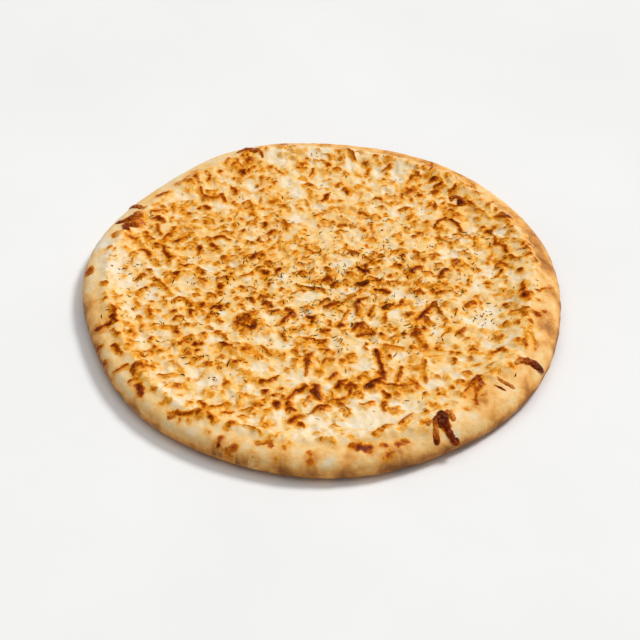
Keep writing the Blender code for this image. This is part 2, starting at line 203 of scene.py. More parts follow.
# Toasted strands and spots that stand out, read off the photo, flattened to millimetres.
# strands: x, y three times, then how dark it is
strands = [
    (69, -13, 71.5, -18, 73.5, -24, 0.8), (84, -39.5, 86, -37, 88, -34.5, 0.7),
    (77, -38, 74.5, -40, 73, -44, 0.5), (73, -48, 71, -51, 69, -54, 0.5),
    (124, -41, 123, -45, 123.5, -48, 0.55), (129, -40, 130.5, -44, 129, -49, 0.45),
    (101, -62, 103.5, -57, 107, -54, 0.45), (107, -54, 109, -53.5, 111, -55, 0.8),
    (92.5, -76.5, 89.5, -82, 86.5, -90, 0.7), (93, -77, 94, -82, 92, -88, 0.75),
    (90, -84, 91.5, -90, 91, -97, 0.5), (-114, -80.5, -112, -79, -108.5, -80, 0.85),
    (-109, -84, -107, -87, -106.5, -91, 0.85), (-96, -79, -93, -79.5, -87.5, -77.5, 0.6),
    (-48.5, -74, -47, -77.5, -43, -79.5, 0.25), (-46, -85, -43, -82.5, -39, -81.5, 0.2),
    (-70.5, -101.5, -68.8, -103.5, -68, -106.5, 0.85), (-85, -107.5, -80, -109.3, -75, -109.5, 0.8),
    (-75, -109, -72, -107.5, -70, -110, 0.75), (-66, -110.5, -64.5, -112.5, -63, -115, 0.85),
    (-64, -105, -60, -104.5, -56, -103, 0.35), (-56.5, -110.5, -54, -110, -51.5, -109, 0.55),
    (-53, -119.5, -51, -118, -49, -118.5, 0.7), (-46, -120, -42, -121.5, -38, -123.5, 0.4),
    (-38, -123.5, -36, -124.5, -34, -126, 0.35), (-57, -125, -58.5, -127.5, -58.5, -130, 0.7),
    (-94, -100, -91, -98.5, -88, -100, 0.3), (30, 121, 29.5, 117, 28.5, 112.5, 0.45),
    (46, 128, 43, 124.5, 40, 120.5, 0.65), (78, 106.5, 76, 104.5, 73.5, 102, 0.8),
    (87.5, 106, 86.5, 103, 84, 99.5, 0.75), (82, 113, 83, 117, 88, 118, 0.45),
    (95, 90, 97.5, 86, 100, 82.5, 0.35), (112, 90, 109, 87, 108, 82.5, 0.4),
    (101, 80, 104.5, 78, 108, 72, 0.35), (113, 74, 117, 72.5, 122, 73, 0.8),
    (50.5, 77.5, 52.5, 79, 55.5, 79.5, 0.7), (24, 74, 27, 73.5, 29, 71, 0.7),
    (32, 88.5, 34.5, 89.5, 37.5, 88, 0.65), (44, 84.5, 47, 85.5, 50, 85.5, 0.3),
    (56.5, 109, 55.5, 105, 55, 102, 0.3), (-109, 92, -106, 94.5, -103, 96, 0.8),
    (-97.5, 104, -93, 107, -89, 108, 0.6), (-98.5, 82, -98.5, 77, -96.5, 72, 0.4),
    (-107.5, 68, -106, 65, -103.5, 63.5, 0.75), (-107, 60, -106.5, 55, -104.5, 50, 0.45),
    (-99, 51, -101, 48.5, -102, 45.5, 0.65), (-94.5, 42, -92, 45.5, -89, 47.5, 0.8),
    (-76, 46, -74, 48, -72.5, 44, 0.4), (-69, 46, -65.5, 48, -59.5, 44.5, 0.8),
    (-81.5, 99, -81, 94, -78, 88.5, 0.75), (-78, 88, -74, 86.5, -69, 87.5, 0.65),
    (-67.5, 91.5, -66, 88.5, -65, 85.5, 0.7), (-64, 132, -64.8, 129, -66, 126, 0.45),
    (-77.5, 116, -76.3, 112, -77, 108, 0.6), (-61.5, 100, -60, 97, -58.5, 93.5, 0.8),
    (-52, 82, -49.5, 84.5, -46.5, 80.5, 0.65), (-52, 55, -53, 50, -54, 44, 0.3),
    (-34.5, 52.5, -32.5, 54.5, -30.5, 55, 0.85), (-27.5, 56, -26.5, 50, -28, 43, 0.25),
    (-33, 119.5, -30, 117, -27.5, 114, 0.3), (-42, 110, -41.5, 107, -40.5, 104.5, 0.65),
    (-7, 119, -8.5, 114.5, -10, 110.5, 0.55), (-13, 102, -10.5, 103, -8, 101.5, 0.85),
    (-6, 131, -3, 131.5, 1, 131, 0.35), (3, 92.5, 1.5, 89, -1, 85.5, 0.8),
    (14.5, 98, 16, 95.5, 16.5, 92.5, 0.9), (-12, 88, -11, 84, -9.5, 79, 0.35),
    (-5, 69, -3, 71.5, -1, 73, 0.35), (-90, 20, -86, 20, -82, 20.5, 0.6),
    (-117, 5, -115, 8.5, -112.5, 11, 0.6), (-106, 8, -100, 2, -96, -3, 0.5),
    (-98, -2, -95, -5, -93, -8, 0.4), (-78, 9, -76, 7.5, -72.5, 6, 0.6), (-64, 7, -61, 9.5, -57, 9, 0.4),
    (-51, 10.5, -47, 11.5, -44.5, 13, 0.55), (-91, -13.5, -88.5, -11, -85.5, -12, 0.7),
    (-85.5, -12, -83, -15, -81, -18, 0.45), (-116, -11, -115.5, -14, -114.5, -17, 0.6),
    (-68.5, -19.5, -66, -19, -63, -18, 0.7), (-70.5, -6.5, -69, -7.5, -67, -9, 0.6),
    (-130, -18, -128, -22, -127, -27, 0.5), (-138, -36, -135, -34, -130, -32, 0.95),
    (-129, -27, -127.5, -30, -126, -33, 0.85), (-127, -39, -125.5, -42, -123.5, -43.5, 0.5),
    (-89.5, -37, -89, -40, -88, -43, 0.8), (-60, -43, -59, -45.5, -57.5, -48, 0.65),
    (-51.5, -28.5, -52.5, -34, -51.5, -38, 0.85), (-50, -33, -47.5, -35, -45, -36.5, 0.8),
    (-41.5, -30, -41, -33, -42, -37, 0.55), (-133, -49.5, -134.5, -53, -136, -57, 0.65),
    (-126, -51, -124, -54, -121, -58, 0.6), (-60, -51, -57.5, -52.5, -54.5, -53.5, 0.65),
    (-84, -46.5, -81.5, -45, -79, -44.5, 0.4), (-27.5, 18, -29, 15, -29.5, 12, 0.75),
    (-81, -22, -81, -25, -80.5, -28, 0.8), (-106.5, -22.5, -106, -25, -105, -27.5, 0.9),
    (72, 60, 75, 66, 80, 69.5, 0.75), (83, 67.5, 87, 63.5, 89, 57, 0.8), (43, 21, 46, 24, 49, 22.5, 0.7),
    (63, 21.5, 59.5, 20.5, 56.5, 16, 0.75), (78, 18.5, 75, 15.5, 73, 11, 0.75),
    (86, 35.5, 90, 36, 93.5, 33, 0.35), (98, 51, 97.5, 47, 97, 41, 0.35),
    (110.5, 52, 111, 48, 110, 44.5, 0.7), (113, 45, 116.5, 42, 118, 37, 0.6),
    (119, 33.5, 124, 31.5, 128, 32.5, 0.4), (129, 33, 130.5, 35, 132, 36.5, 0.65),
    (112, 28, 116, 24, 119.5, 22, 0.45), (113, 19, 111, 14, 108.5, 12, 0.5),
    (104, 23, 105, 28, 108, 34, 0.3), (126, 9, 125.5, 5, 124.5, 1, 0.75), (92, 13, 91.5, 8, 91, 4, 0.45),
    (134.5, 2, 138, 4.5, 143, 6, 0.7), (33, -1, 37, -1, 41, -3, 0.85), (22, 3, 26, 4, 29, 6, 0.9),
    (30, 11, 33, 9.5, 36, 7.5, 0.85), (72, -3, 75, -2, 78, -1.5, 0.9), (125, -4, 128, -2, 131, -2, 0.8),
    (-7, -61, -8.5, -68, -9.5, -77, 0.9), (33, -56, 35.5, -68, 37.5, -79, 0.95),
    (37, -79.5, 31, -82, 26, -88, 0.9), (14.5, -87, 17.5, -84.5, 20.5, -87.5, 0.95),
    (17, -88, 17, -92, 16.5, -95, 0.65), (9.5, -88, 11, -83, 14.5, -82, 0.9),
    (4.5, -80, 7, -79, 8.5, -76.5, 0.7), (22, -80, 25, -77.8, 28, -79, 0.8), (-5, -91, -3, -93, -1, -97, 1),
    (-19, -98, -15.5, -92, -9, -88, 0.8), (4, -99, 9, -99, 13.5, -97.5, 0.85),
    (6, -90, 6.5, -94, 7, -98, 0.5), (-4.5, -108, -1.5, -104, 4, -103, 0.8),
    (11, -101.5, 14, -104.5, 16.5, -109.5, 0.65), (-17, -116, -14, -112, -9, -112, 0.8),
    (-36, -84, -31, -83.5, -25.5, -79, 0.75), (36.5, -90, 38, -92.5, 39.5, -95, 0.8),
    (38, -99, 36, -103, 37.5, -107, 0.6), (25.5, -102, 27.5, -101, 30, -99.5, 0.65),
    (37, -83.5, 46, -86.8, 55, -84.5, 0.6), (48, -70, 46, -77, 44, -84, 0.5),
    (52, -80, 55, -83, 57, -86, 0.55), (52.5, -110, 49.5, -113.5, 46, -117.5, 0.75),
    (62, -64, 62, -68, 61, -73, 0.55), (-33, -21.5, -30.5, -22.5, -27, -21.5, 0.85),
    (-21, -21, -18.5, -22, -17, -25, 0.75), (-19, -24, -21.5, -27.5, -24, -32, 0.6),
    (-42, -31, -42, -35, -43, -38, 0.7), (-26, -40, -23, -44, -22, -48, 0.45),
    (-36, -53.5, -33.5, -57, -31, -60, 0.65), (-8.5, -27, -5.5, -26.5, -6, -33.5, 1.15),
    (4, -29.5, 4.8, -31.5, 5, -34, 0.6), (16, -20.5, 14, -26, 12, -31, 0.55),
    (-1.5, -16, 1, -12.5, 3.5, -9.5, 0.75), (3, -17, 5.5, -14, 9.5, -13.3, 0.8),
    (21.5, -14, 23.5, -10, 27, -9.5, 1.1), (21.3, -14.5, 22, -19, 22, -24.5, 0.8),
    (39, -18, 41, -15.5, 44, -14, 1.1), (45, -16.5, 48, -15, 50, -9.5, 0.65),
    (32, -15, 30.5, -19, 29, -25, 0.5), (39.5, -22, 38.7, -25, 39.5, -30, 0.5),
    (19.5, -37, 22, -33, 24.5, -32.5, 0.9), (24.5, -32.5, 28, -34.5, 28.5, -38, 0.8),
    (22.5, -43, 27, -41.5, 31, -41, 1), (69.5, -12.5, 66, -18, 60.5, -25, 0.85),
    (58.5, -29, 57.5, -33, 58, -37, 0.5), (58, -37, 57, -42, 60, -48, 0.7),
    (38, -51, 44, -52.5, 49, -52.5, 0.5), (28, -50, 26, -52.5, 27, -55, 0.5),
    (-1, -50.5, 1, -50, 3, -49, 0.6), (-1, -56, 2, -55, 3.5, -57.5, 0.6),
    (-14, -45.5, -8, -46.5, 2, -47.5, 0.4), (-9.5, -65, -7.5, -61, -6, -58.5, 0.7),
    (-16, 2.5, -8, 0, 0.5, -2, 0.8), (18, -133, 24, -134, 29, -132, 0.85),
    (-124, -72, -121, -70, -117, -68, 0.9), (-102, 38, -101, 33, -97, 28, 0.9),
    (-116, 35, -111, 32, -110, 29, 0.85), (-45, 27, -42, 31, -39, 34, 0.85),
    (-79, 38, -78, 35, -79, 31, 0.85), (-71, 40, -68, 38, -66, 34, 0.8), (17, 142, 19, 138, 21, 132, 0.9),
    (-124, 49, -121, 47, -118, 46, 0.4), (-36, -131, -33, -132, -30, -131, 0.6),
]
# spots: x, y, radius, how dark it is
spots = [
    (75, -15, 2.5, 0.35), (92, -14, 3, 0.7), (96, -7, 2, 0.4), (78.5, -57, 1.2, 0.85), (82, -57, 1.1, 0.85),
    (88.5, -61.5, 1.1, 0.9), (91.5, -56, 3, 0.5), (92.5, -68, 2, 0.5), (89, -44, 1.6, 0.3),
    (98, -36, 1.2, 0.25), (101, -45, 1, 0.25), (112.5, -30.5, 2.2, 0.7), (119, -30, 2.2, 0.7),
    (128.5, -28, 1.8, 0.7), (126, -5, 3.2, 0.8), (126, -16, 2.6, 0.75), (125, -22, 2, 0.25),
    (135, -6, 1.3, 0.3), (118.5, -45, 1.8, 0.5), (126, -38, 2, 0.25), (77.5, -87, 2, 0.45),
    (96, -89.5, 1.2, 0.75), (97, -93, 1, 0.5), (84, -93, 1.5, 0.4), (86, -101, 1.5, 0.3),
    (73, -94, 1.2, 0.4), (73, -101, 1.3, 0.3), (115, -66, 2.5, 0.35), (81, -51, 1.2, 0.4),
    (76, -28, 1.2, 0.6), (89.5, -85, 4, 0.4), (-84.5, -87.5, 2.6, 0.6), (-98, -89.5, 2.5, 0.2),
    (-90, -62, 2, 0.3), (-106, -68, 2, 0.25), (-88, -68, 1.5, 0.25), (-72, -64, 1, 0.85),
    (-68.3, -68, 1, 0.7), (-66.5, -70, 2, 0.3), (-59, -64, 2.3, 0.35), (-46, -66, 1.8, 0.2),
    (-58, -93.3, 2, 0.3), (-69, -93, 1.8, 0.15), (-78.5, -83, 1.3, 0.35), (-81.5, -97.5, 1.8, 0.3),
    (-77, -102, 2, 0.45), (-71.5, -110, 2.2, 0.75), (-87, -109, 3, 0.3), (-82.5, -112, 0.9, 0.6),
    (-77, -114.5, 1.8, 0.3), (-54, -102.5, 2, 0.35), (-48, -102, 2, 0.35), (-45.5, -114, 2.5, 0.25),
    (-64.5, -122, 1.2, 0.3), (27.5, 128, 1.8, 0.55), (44, 125.5, 2, 0.6), (41.5, 115, 1.2, 0.4),
    (35, 135, 2, 0.2), (63, 126, 1.5, 0.25), (73, 112, 2.1, 0.95), (74, 96.5, 2, 0.6), (94, 94, 1.3, 0.45),
    (99.8, 70, 1.5, 0.5), (84, 76.8, 1.4, 0.9), (80, 80, 1.3, 0.5), (72.5, 80, 2.5, 0.4),
    (41.5, 73.5, 1.2, 0.45), (38, 80, 1.2, 0.45), (23, 102, 2, 0.4), (26.5, 95, 2, 0.25),
    (25.5, 84, 2.5, 0.2), (64, 104, 1.2, 0.45), (63.7, 93, 1.5, 0.65), (64, 85, 1.3, 0.3),
    (40.5, 101, 1.2, 0.25), (117, 75, 2.5, 0.5), (19, 79, 1.3, 0.2), (-90, 113, 3, 0.3),
    (-88.5, 97, 1.5, 0.25), (-96.3, 54.6, 2.3, 0.55), (-90, 58, 2, 0.3), (-76.5, 77.7, 2.8, 0.85),
    (-81, 77, 1.5, 0.5), (-79, 116.5, 1.5, 0.25), (-68.6, 117.7, 1.5, 0.7), (-54, 114.5, 2.4, 0.9),
    (-50, 117.5, 1.3, 0.75), (-60, 108, 1.3, 0.55), (-56, 107.5, 1, 0.5), (-55, 97, 3.5, 0.15),
    (-46.4, 71.5, 2.3, 0.65), (-40, 76.3, 1.5, 0.45), (-37.5, 68, 1.4, 0.35), (-37.9, 61, 2, 0.8),
    (-29.8, 64.5, 1.5, 0.35), (-52.7, 65.7, 1.2, 0.7), (-72.2, 64, 1.5, 0.45), (-65.5, 58, 1.5, 0.3),
    (-57, 60, 1.8, 0.5), (-51, 54.5, 1.8, 0.55), (-45, 52, 1.5, 0.3), (-35.8, 122, 1.5, 0.7),
    (-41, 119.5, 1.2, 0.5), (-42, 95, 2.5, 0.2), (-32.5, 105, 1, 0.4), (-11, 134, 1.5, 0.75),
    (-14.8, 125, 2.1, 0.6), (-12.5, 128, 1.4, 0.5), (-15, 110.3, 1.5, 0.45), (2, 126, 2.5, 0.5),
    (3.5, 108, 2, 0.3), (15.5, 114, 1.8, 0.35), (11.5, 87, 1.5, 0.4), (-33.2, 84.5, 2.2, 0.45),
    (8, 77, 3, 0.1), (-28, 75, 1.5, 0.2), (-17.5, 49, 1.4, 0.4), (-85, 57, 4, 0.1), (-58, 122, 4, 0.1),
    (11.5, 70, 1.3, 0.4), (-30, 92, 2.5, 0.1), (-69, 70, 3, 0.1), (-98.2, 23.2, 2.3, 0.8),
    (-96, 27, 3, 0.3), (-109.5, 15.5, 1.8, 0.75), (-92.3, 12.7, 2.2, 0.95), (-92.7, 7.3, 1.2, 0.7),
    (-125, 10, 1.8, 0.25), (-106, 1, 2, 0.5), (-76, 3, 3, 0.2), (-66.4, 13.2, 1.2, 0.55),
    (-64, 1, 2.2, 0.85), (-64.5, -5, 1.5, 0.6), (-57, 13, 1.2, 0.5), (-50, 0.5, 1.3, 0.8),
    (-36.4, 13.2, 2.6, 0.95), (-39.5, 17.3, 2, 0.55), (-33.6, 3.6, 1.2, 0.7), (-26, 4.5, 1.1, 0.7),
    (-42.3, -5.5, 1, 0.6), (-79.5, -7.7, 1.6, 0.9), (-78.6, -2, 1, 0.5), (-74.5, -17.3, 2.2, 0.8),
    (-58.5, -16.5, 1, 0.8), (-91.4, -24, 1.6, 0.75), (-73, -22, 1, 0.5), (-71, -29, 1.6, 0.85),
    (-62.3, -31.4, 1.8, 0.75), (-116, -42.7, 2.5, 0.65), (-117, -37, 3, 0.2), (-71.8, -42.3, 1.8, 0.7),
    (-62.7, -41.4, 2.2, 0.6), (-46, -27.5, 4, 0.5), (-47.3, -40, 2.3, 0.55), (-103, -34.5, 1.5, 0.45),
    (-101, -54, 1.5, 0.45), (-83, -51.4, 3, 0.4), (-51, -52, 1.1, 0.5), (-62.3, 27.7, 2, 0.8),
    (-45.4, 27.3, 4, 0.3), (-77.5, 23.5, 1.5, 0.35), (-103.6, -7.3, 1.3, 0.4), (-101.4, -21, 1.5, 0.45),
    (-108, -19, 1.6, 0.35), (-95, -38, 3, 0.15), (-86, -20, 0.9, 0.5), (-43.5, -1, 1.2, 0.3),
    (-56, -3, 1.5, 0.2), (-86, 14, 2.5, 0.3), (-147, 17, 3, 0.5), (67, 65, 2, 0.6), (61, 54, 1.8, 0.45),
    (59, 51, 1.8, 0.6), (25, 57, 3, 0.3), (31, 46, 3, 0.25), (28.5, 40.5, 1.3, 0.5), (37, 32.5, 1.3, 0.6),
    (37, 25.5, 1.7, 0.45), (63, 28, 2.6, 0.45), (55, 14, 3, 0.25), (85.5, 26.5, 3.2, 0.75),
    (85.5, 17.5, 1.8, 0.5), (74, 49, 2.3, 0.35), (82, 45, 1.8, 0.45), (106.5, 56, 2.4, 0.9),
    (104, 60.5, 2, 0.5), (111, 62, 2, 0.5), (107, 42, 1.2, 0.7), (115.5, 31.5, 1.4, 0.7), (131, 42, 2, 0.4),
    (113, 22, 4, 0.35), (125, 20, 1.9, 0.85), (103, 5, 3, 0.15), (113, 1, 2, 0.3), (28, 16, 2.2, 0.7),
    (34.5, 18.5, 1.6, 0.5), (55, -1, 2, 0.45), (60, -3, 2.5, 0.75), (69, -2, 1.8, 0.5), (90, -1, 1.5, 0.3),
    (46, 35, 2.5, 0.15), (44, 66, 2, 0.3), (122.5, 50, 1.6, 0.5), (36, -75, 2.4, 0.85),
    (34, -81, 2.3, 0.75), (28, -87, 2.3, 0.9), (11.5, -85, 2.4, 0.8), (17.5, -86.5, 2.4, 0.85),
    (-8, -69, 2.1, 0.8), (-3, -92.5, 2.3, 0.95), (-9.5, -88, 2.3, 0.6), (23.5, -36.5, 2.6, 0.65),
    (41.5, -16.5, 2.6, 1), (27, -42.5, 2, 0.85), (38, -92, 1.9, 0.8), (66, -17, 2.3, 0.8),
    (57.5, -42, 2.6, 0.7), (-0.5, -107, 1.9, 0.6), (25.5, -75, 2.5, 0.25), (-4, -86.5, 2.3, 0.8),
    (0, -107.5, 2.5, 0.5), (-18, -107.5, 2.6, 0.95), (-19, -102, 2, 0.65), (-26, -103.5, 2.4, 0.8),
    (-11, -120, 2.2, 0.8), (-33, -92, 2.4, 0.8), (-28, -94, 1.4, 0.6), (-23.5, -88.5, 1.6, 0.6),
    (-22, -97, 2, 0.35), (-38, -103, 3, 0.45), (-39, -111.5, 2, 0.35), (-32, -120.5, 3, 0.3),
    (22, -95, 3, 0.2), (53, -90.5, 2.3, 0.6), (45, -94, 3, 0.35), (61, -92.5, 1.4, 0.6),
    (38, -120, 2.8, 0.5), (61, -108, 2.5, 0.45), (7, -120, 2.5, 0.35), (-1, -75, 3, 0.25), (4, -67, 4, 0.2),
    (12, -65, 2, 0.4), (-34, -16.5, 2.5, 0.85), (-43.5, -12.5, 2.2, 0.8), (-43, -25, 3, 0.4),
    (11.5, -34.5, 2.4, 0.9), (59, -27.5, 2.4, 0.85), (62, -36, 1.3, 0.9), (50, -40, 1.3, 0.8),
    (54, -52.5, 2, 0.5), (36.5, -42.5, 1.3, 0.9), (41.5, -61, 1.3, 0.9), (-12, -34.5, 2, 0.4),
    (-37, -11, 3, 0.25), (-9, -49, 5, 0.15), (24, -39.5, 2, 0.6), (33, -86, 3, 0.4), (62, -52, 2.2, 0.5),
    (44, -130, 3, 0.4), (50, -127, 3, 0.3), (40, -136, 3, 0.5), (33, -125, 2.5, 0.35),
    (-124, 67, 4.5, 0.55), (-120, 62, 4, 0.5), (-118, 70, 3.5, 0.3), (-53, -138.5, 3.2, 0.95),
    (-54, -134, 3.4, 0.2), (-6, -138, 2.4, 0.5), (-5, -142.5, 2.2, 0.7), (-38, -142, 4, 0.15),
    (-25, -142.5, 3, 0.2), (-29, -131.5, 2.8, 0.35), (-22, -135, 2.2, 0.3), (36, -131, 2.5, 0.6),
    (22, -133, 3, 0.85), (28, -133, 3, 0.8), (-130, -65, 3, 0.6), (-51, -132, 3, 0.45), (-27, 147, 3, 0.9),
    (-112, 45, 3, 0.6), (-147, 17, 3, 0.75), (2, 8, 3, 0.85), (9, 3, 2.5, 0.85),
]
# broad pale pools where the cheese stayed white: x, y, radius
pools = [
    (76, -75, 8), (100, -34, 7), (105, -20, 7), (86, -63, 3), (70, -41, 4), (90, -30, 4), (113, -46, 4),
    (90, -73, 4), (100, -50, 4), (-84, -103, 5), (-92, -90, 6), (-66, -85, 8), (-99, -81, 5), (-75, -79, 5),
    (-54, -95, 4), (36, 116, 5), (30, 102, 4), (47, 108, 6), (50, 121, 7), (57, 82, 4), (62, 74, 4),
    (82, 108, 3), (42, 95, 5), (30, 80, 4), (44, 72, 4), (-94.5, 90, 6), (-48, 98, 6), (0, 101, 5),
    (-3.5, 78, 5), (15, 123, 6), (-44.5, 46, 5), (-94, 66, 4), (-67, 104, 5), (-25, 103, 6), (-36, 47, 4),
    (-70, 80, 6), (-52, 88, 5), (-5, 135, 9), (-32, 134, 9), (-18, 66, 5), (-20, 92, 6), (-136, 14, 15),
    (-118, -24, 7), (-106, -9, 7), (-104, 13, 5), (-86, 4, 6), (-73, 17, 5), (-56, 19, 4), (-66, -38, 5),
    (-56, -38, 5), (-65, -47, 5), (-63, -26, 3), (-84, -32, 4), (-119, 1, 8), (-124, 22, 9), (-110, -50, 4),
    (-26, 8, 4), (97, 57, 4), (88, 49, 8), (82, 34, 5), (97, 35, 4), (119, 12, 5), (102, 14, 8), (95, 2, 6),
    (113, 54, 4), (57, 28, 4), (22, 50, 5), (76, 30, 4), (27, -115, 18), (50, -111, 10), (24, -70, 6),
    (-15, -83, 5), (-11, -98, 5), (2.5, -90, 3), (29, -96, 5), (45, -103, 8), (65, -85, 7), (7, -106, 4),
    (-23, -113, 5), (-39, -115, 4), (-38, -73, 5), (-40, -92, 5), (45, -27, 6), (-35, -28, 5), (3, -22, 5),
    (19, -27, 3), (24, -56, 5), (6, -52, 5), (-25, -53, 6), (-37, -48, 5), (65, -35, 5), (46, -62, 5),
    (47, -7, 6), (-10, -9, 7), (17, -8, 6), (33, -33, 4), (-12, -25, 5), (60, -14, 4), (-5, -113, 8),
    (5, -120, 9), (17, -5, 6), (-136, 32, 10), (-44, -128, 8), (12, 24, 7), (-5, -128, 9), (-40, -138, 9),
]
# broad zones that caught more heat: x, y, radius
hotZones = [
    (3, -55, 9), (46, -86, 11), (-18, -105, 9), (-124, 48, 9), (90, 84, 11), (84, 68, 9), (115, 32, 11),
    (125, -8, 7), (125, -45, 8), (-98, 0, 6), (-70, -20, 12), (-95, 45, 8), (-45, -30, 7), (62, -30, 8),
    (75, -40, 7), (55, 18, 10), (28, 18, 9), (-74, 45, 8), (-74, 86, 8), (-54, 128, 11), (-107, 38, 11),
    (44, -133, 10), (93, -88, 12), (66, -122, 9), (-80, -60, 10), (-40, -62, 9), (-62, -58, 8),
    (-12, -58, 9), (14, -18, 9), (41, -57, 9), (66, -55, 8), (-122, -52, 8), (-70, -110, 10), (-7, -95, 8),
    (15, -88, 8), (33, -85, 8), (104, -57, 7), (120, -66, 6), (92, -87, 8), (72, -114, 8), (26, -135, 7),
    (30, 4, 8), (40, -18, 8), (-108, -30, 8), (-88, 8, 10), (-35, 14, 9), (75, 105, 9), (60, 90, 10),
    (-130, -30, 8), (105, 55, 8),
]

# Strands of cheese that stood up and caught: hard, oily and nearly black where they stand
# highest, red-brown down the sides. Each: the places it runs through, then its radii and how
# dark it is, both spread evenly over its length.
toastedStrands = {
    "seen": [
        ([(69, -111.5), (67, -115.5), (66.2, -120), (66.8, -125), (66.2, -129.5)], (2.2, 2.0, 2.5),
         (1.1, 0.85, 0.35, 0.25, 0.7, 1.05)),
        ([(67.5, -114), (69.5, -116.5), (71.5, -118.5)], (2.2, 2.4, 2.0), (0.9, 1.05, 0.9)),
        ([(70, -111), (72.5, -116), (75, -121), (77.5, -126.5), (78.5, -130.5)], (2.2, 2.4, 3.1),
         (1.0, 0.85, 1.15)),
        ([(68.5, -112.5), (70, -110.5), (71.5, -113.5), (73, -117)], (2.0, 2.6, 2.8, 2.2),
         (0.9, 1.1, 1.1, 0.9)),
        ([(72, -109.5), (75, -110), (78, -112.5)], (1.9, 2.2), (0.6, 0.1)),
        ([(67, -115), (63.5, -117), (61.5, -120)], (1.6, 1.3), (0.6, 0.1)),
        ([(104.5, -77), (109.5, -80.2), (115, -84.3)], (0.9, 1.5, 1.3), (0.1, 0.3, 0.15)),
        ([(102.5, -82.4), (106, -84.2), (109.5, -86.5)], (0.5, 1.0, 0.6), (0.4, 0.95, 0.5)),
        ([(115.5, -66), (120, -61.5), (125, -61.5), (130, -65.5), (133, -69)], (2.0, 2.7, 3.4),
         (0.0, 0.7, 1.45)),
        ([(-128, 76), (-123, 78.5), (-117, 77)], (1.5, 2.2, 1.6), (0.65, 0.55, 0.3)),
        ([(-135, 60.5), (-128, 64.5), (-122, 67.5), (-118.5, 71)], (1.6, 2.4, 3.0), (0.7, 0.55, 0.25)),
        ([(-129.5, 60), (-124.5, 58.5), (-119, 58)], (2.0, 2.4), (0.75, 0.5)),
        ([(-129, 60), (-127, 55), (-125, 51)], (2.0, 1.7), (0.85, 0.75)),
        ([(-59.5, 135.5), (-56, 137), (-52, 138), (-47.5, 137.5), (-44.5, 136.5)], (1.4, 2.5, 2.1),
         (0.3, 0.6, 0.4)),
        ([(-47.5, 139.5), (-44, 138), (-42, 135), (-41.5, 131)], (1.2, 1.0), (0.55, 0.4)),
        ([(83, 86), (85, 90), (89, 91), (91, 87), (93, 83)], (2.0, 1.6), (0.55, 0.6)),
        ([(90, 88), (89.5, 84), (89, 81)], (1.8, 2.0), (0.9, 1.0)),
    ],
    "sides": 16, "steps": 28, "sink": 0.2, "flat": 0.75,
    "ramp": [(0.0, "#e0953a"), (0.25, "#c46a18"), (0.5, "#9c4006"), (0.75, "#762502"), (1.0, "#451203")],
    "ior": 1.45, "specular": 0.3, "sheenTint": "#ffb478", "rough": 0.1, "grainMm": 1.0,
}

# Edges of single shreds that stood up along the darker side of a toasted mark: thin, hard and
# oily, brown at the tips and darkest in the middle. Some lie on their own.
shredEdges = {
    "share": 0.7, "thick": (0.2, 0.34), "leastDark": 0.3,
    "loose": 60, "looseMm": (3.0, 8.0), "looseThick": (0.2, 0.36),
    "sides": 6, "steps": 11, "sink": 0.35, "flat": 0.7,
}

browning = {
    "seed": 29,
    "marks": 620, "spacing": 6.2,    # huddles of smaller toasted marks between those above
    "foldShare": 0.35, "blisterShare": 0.08,
    "flecks": 1300,                  # small golden specks with no dark core
    "shreds": 1500,                  # soft ridges left by the grated cheese
    "pitch": 0.5, "half": 156,       # the square it is drawn on: size of a cell, half its side
    "twist": [(0.9, 4.5), (0.5, 1.9)],   # how far the drawing is twisted, and over what size
    "strandWide": (1.3, 1.9), "strandDark": 0.88, "spotWide": 0.85, "spotDark": 0.86,
    "hazeLevel": 0.13, "hazeAmber": 0.56, "plainTone": 0.222, "plainOil": 0.5,
}

# How the photo was read: as if all lay this high, by an eye so far above that and in front of
# the middle. Then how far above the dough the skin, the marks and the flakes really are.
reading = {"high": 13.5, "eyeAbove": 795, "eyeFront": 887, "skin": 2.5, "marks": 4.3, "flakes": 3.3}


def slideOn(x, y, above=reading["skin"]):
    # slide a place that was read off the photo along the line of sight, onto what it shows
    rise = float(doughTop(np.array(x), np.array(y))) + above - reading["high"]
    eye = reading["eyeAbove"]
    return x * (1 - rise / eye), y - (reading["eyeFront"] + y) * rise / eye


def twisted(x, y, way=1):
    # the marks are drawn on a gently twisted sheet, so that no edge is regular; way -1 goes
    # back, near enough
    moved = []
    for start, seed in ((x, 21), (y, 23)):
        for k, (amount, cell) in enumerate(browning["twist"]):
            start = start + way * amount * softNoise(x, y, cell, seed + k)
        moved.append(start)
    return moved


side = np.arange(-browning["half"], browning["half"] + 0.01, browning["pitch"])
gridX, gridY = np.meshgrid(side, side, indexing="ij")
warpX, warpY = twisted(gridX, gridY)


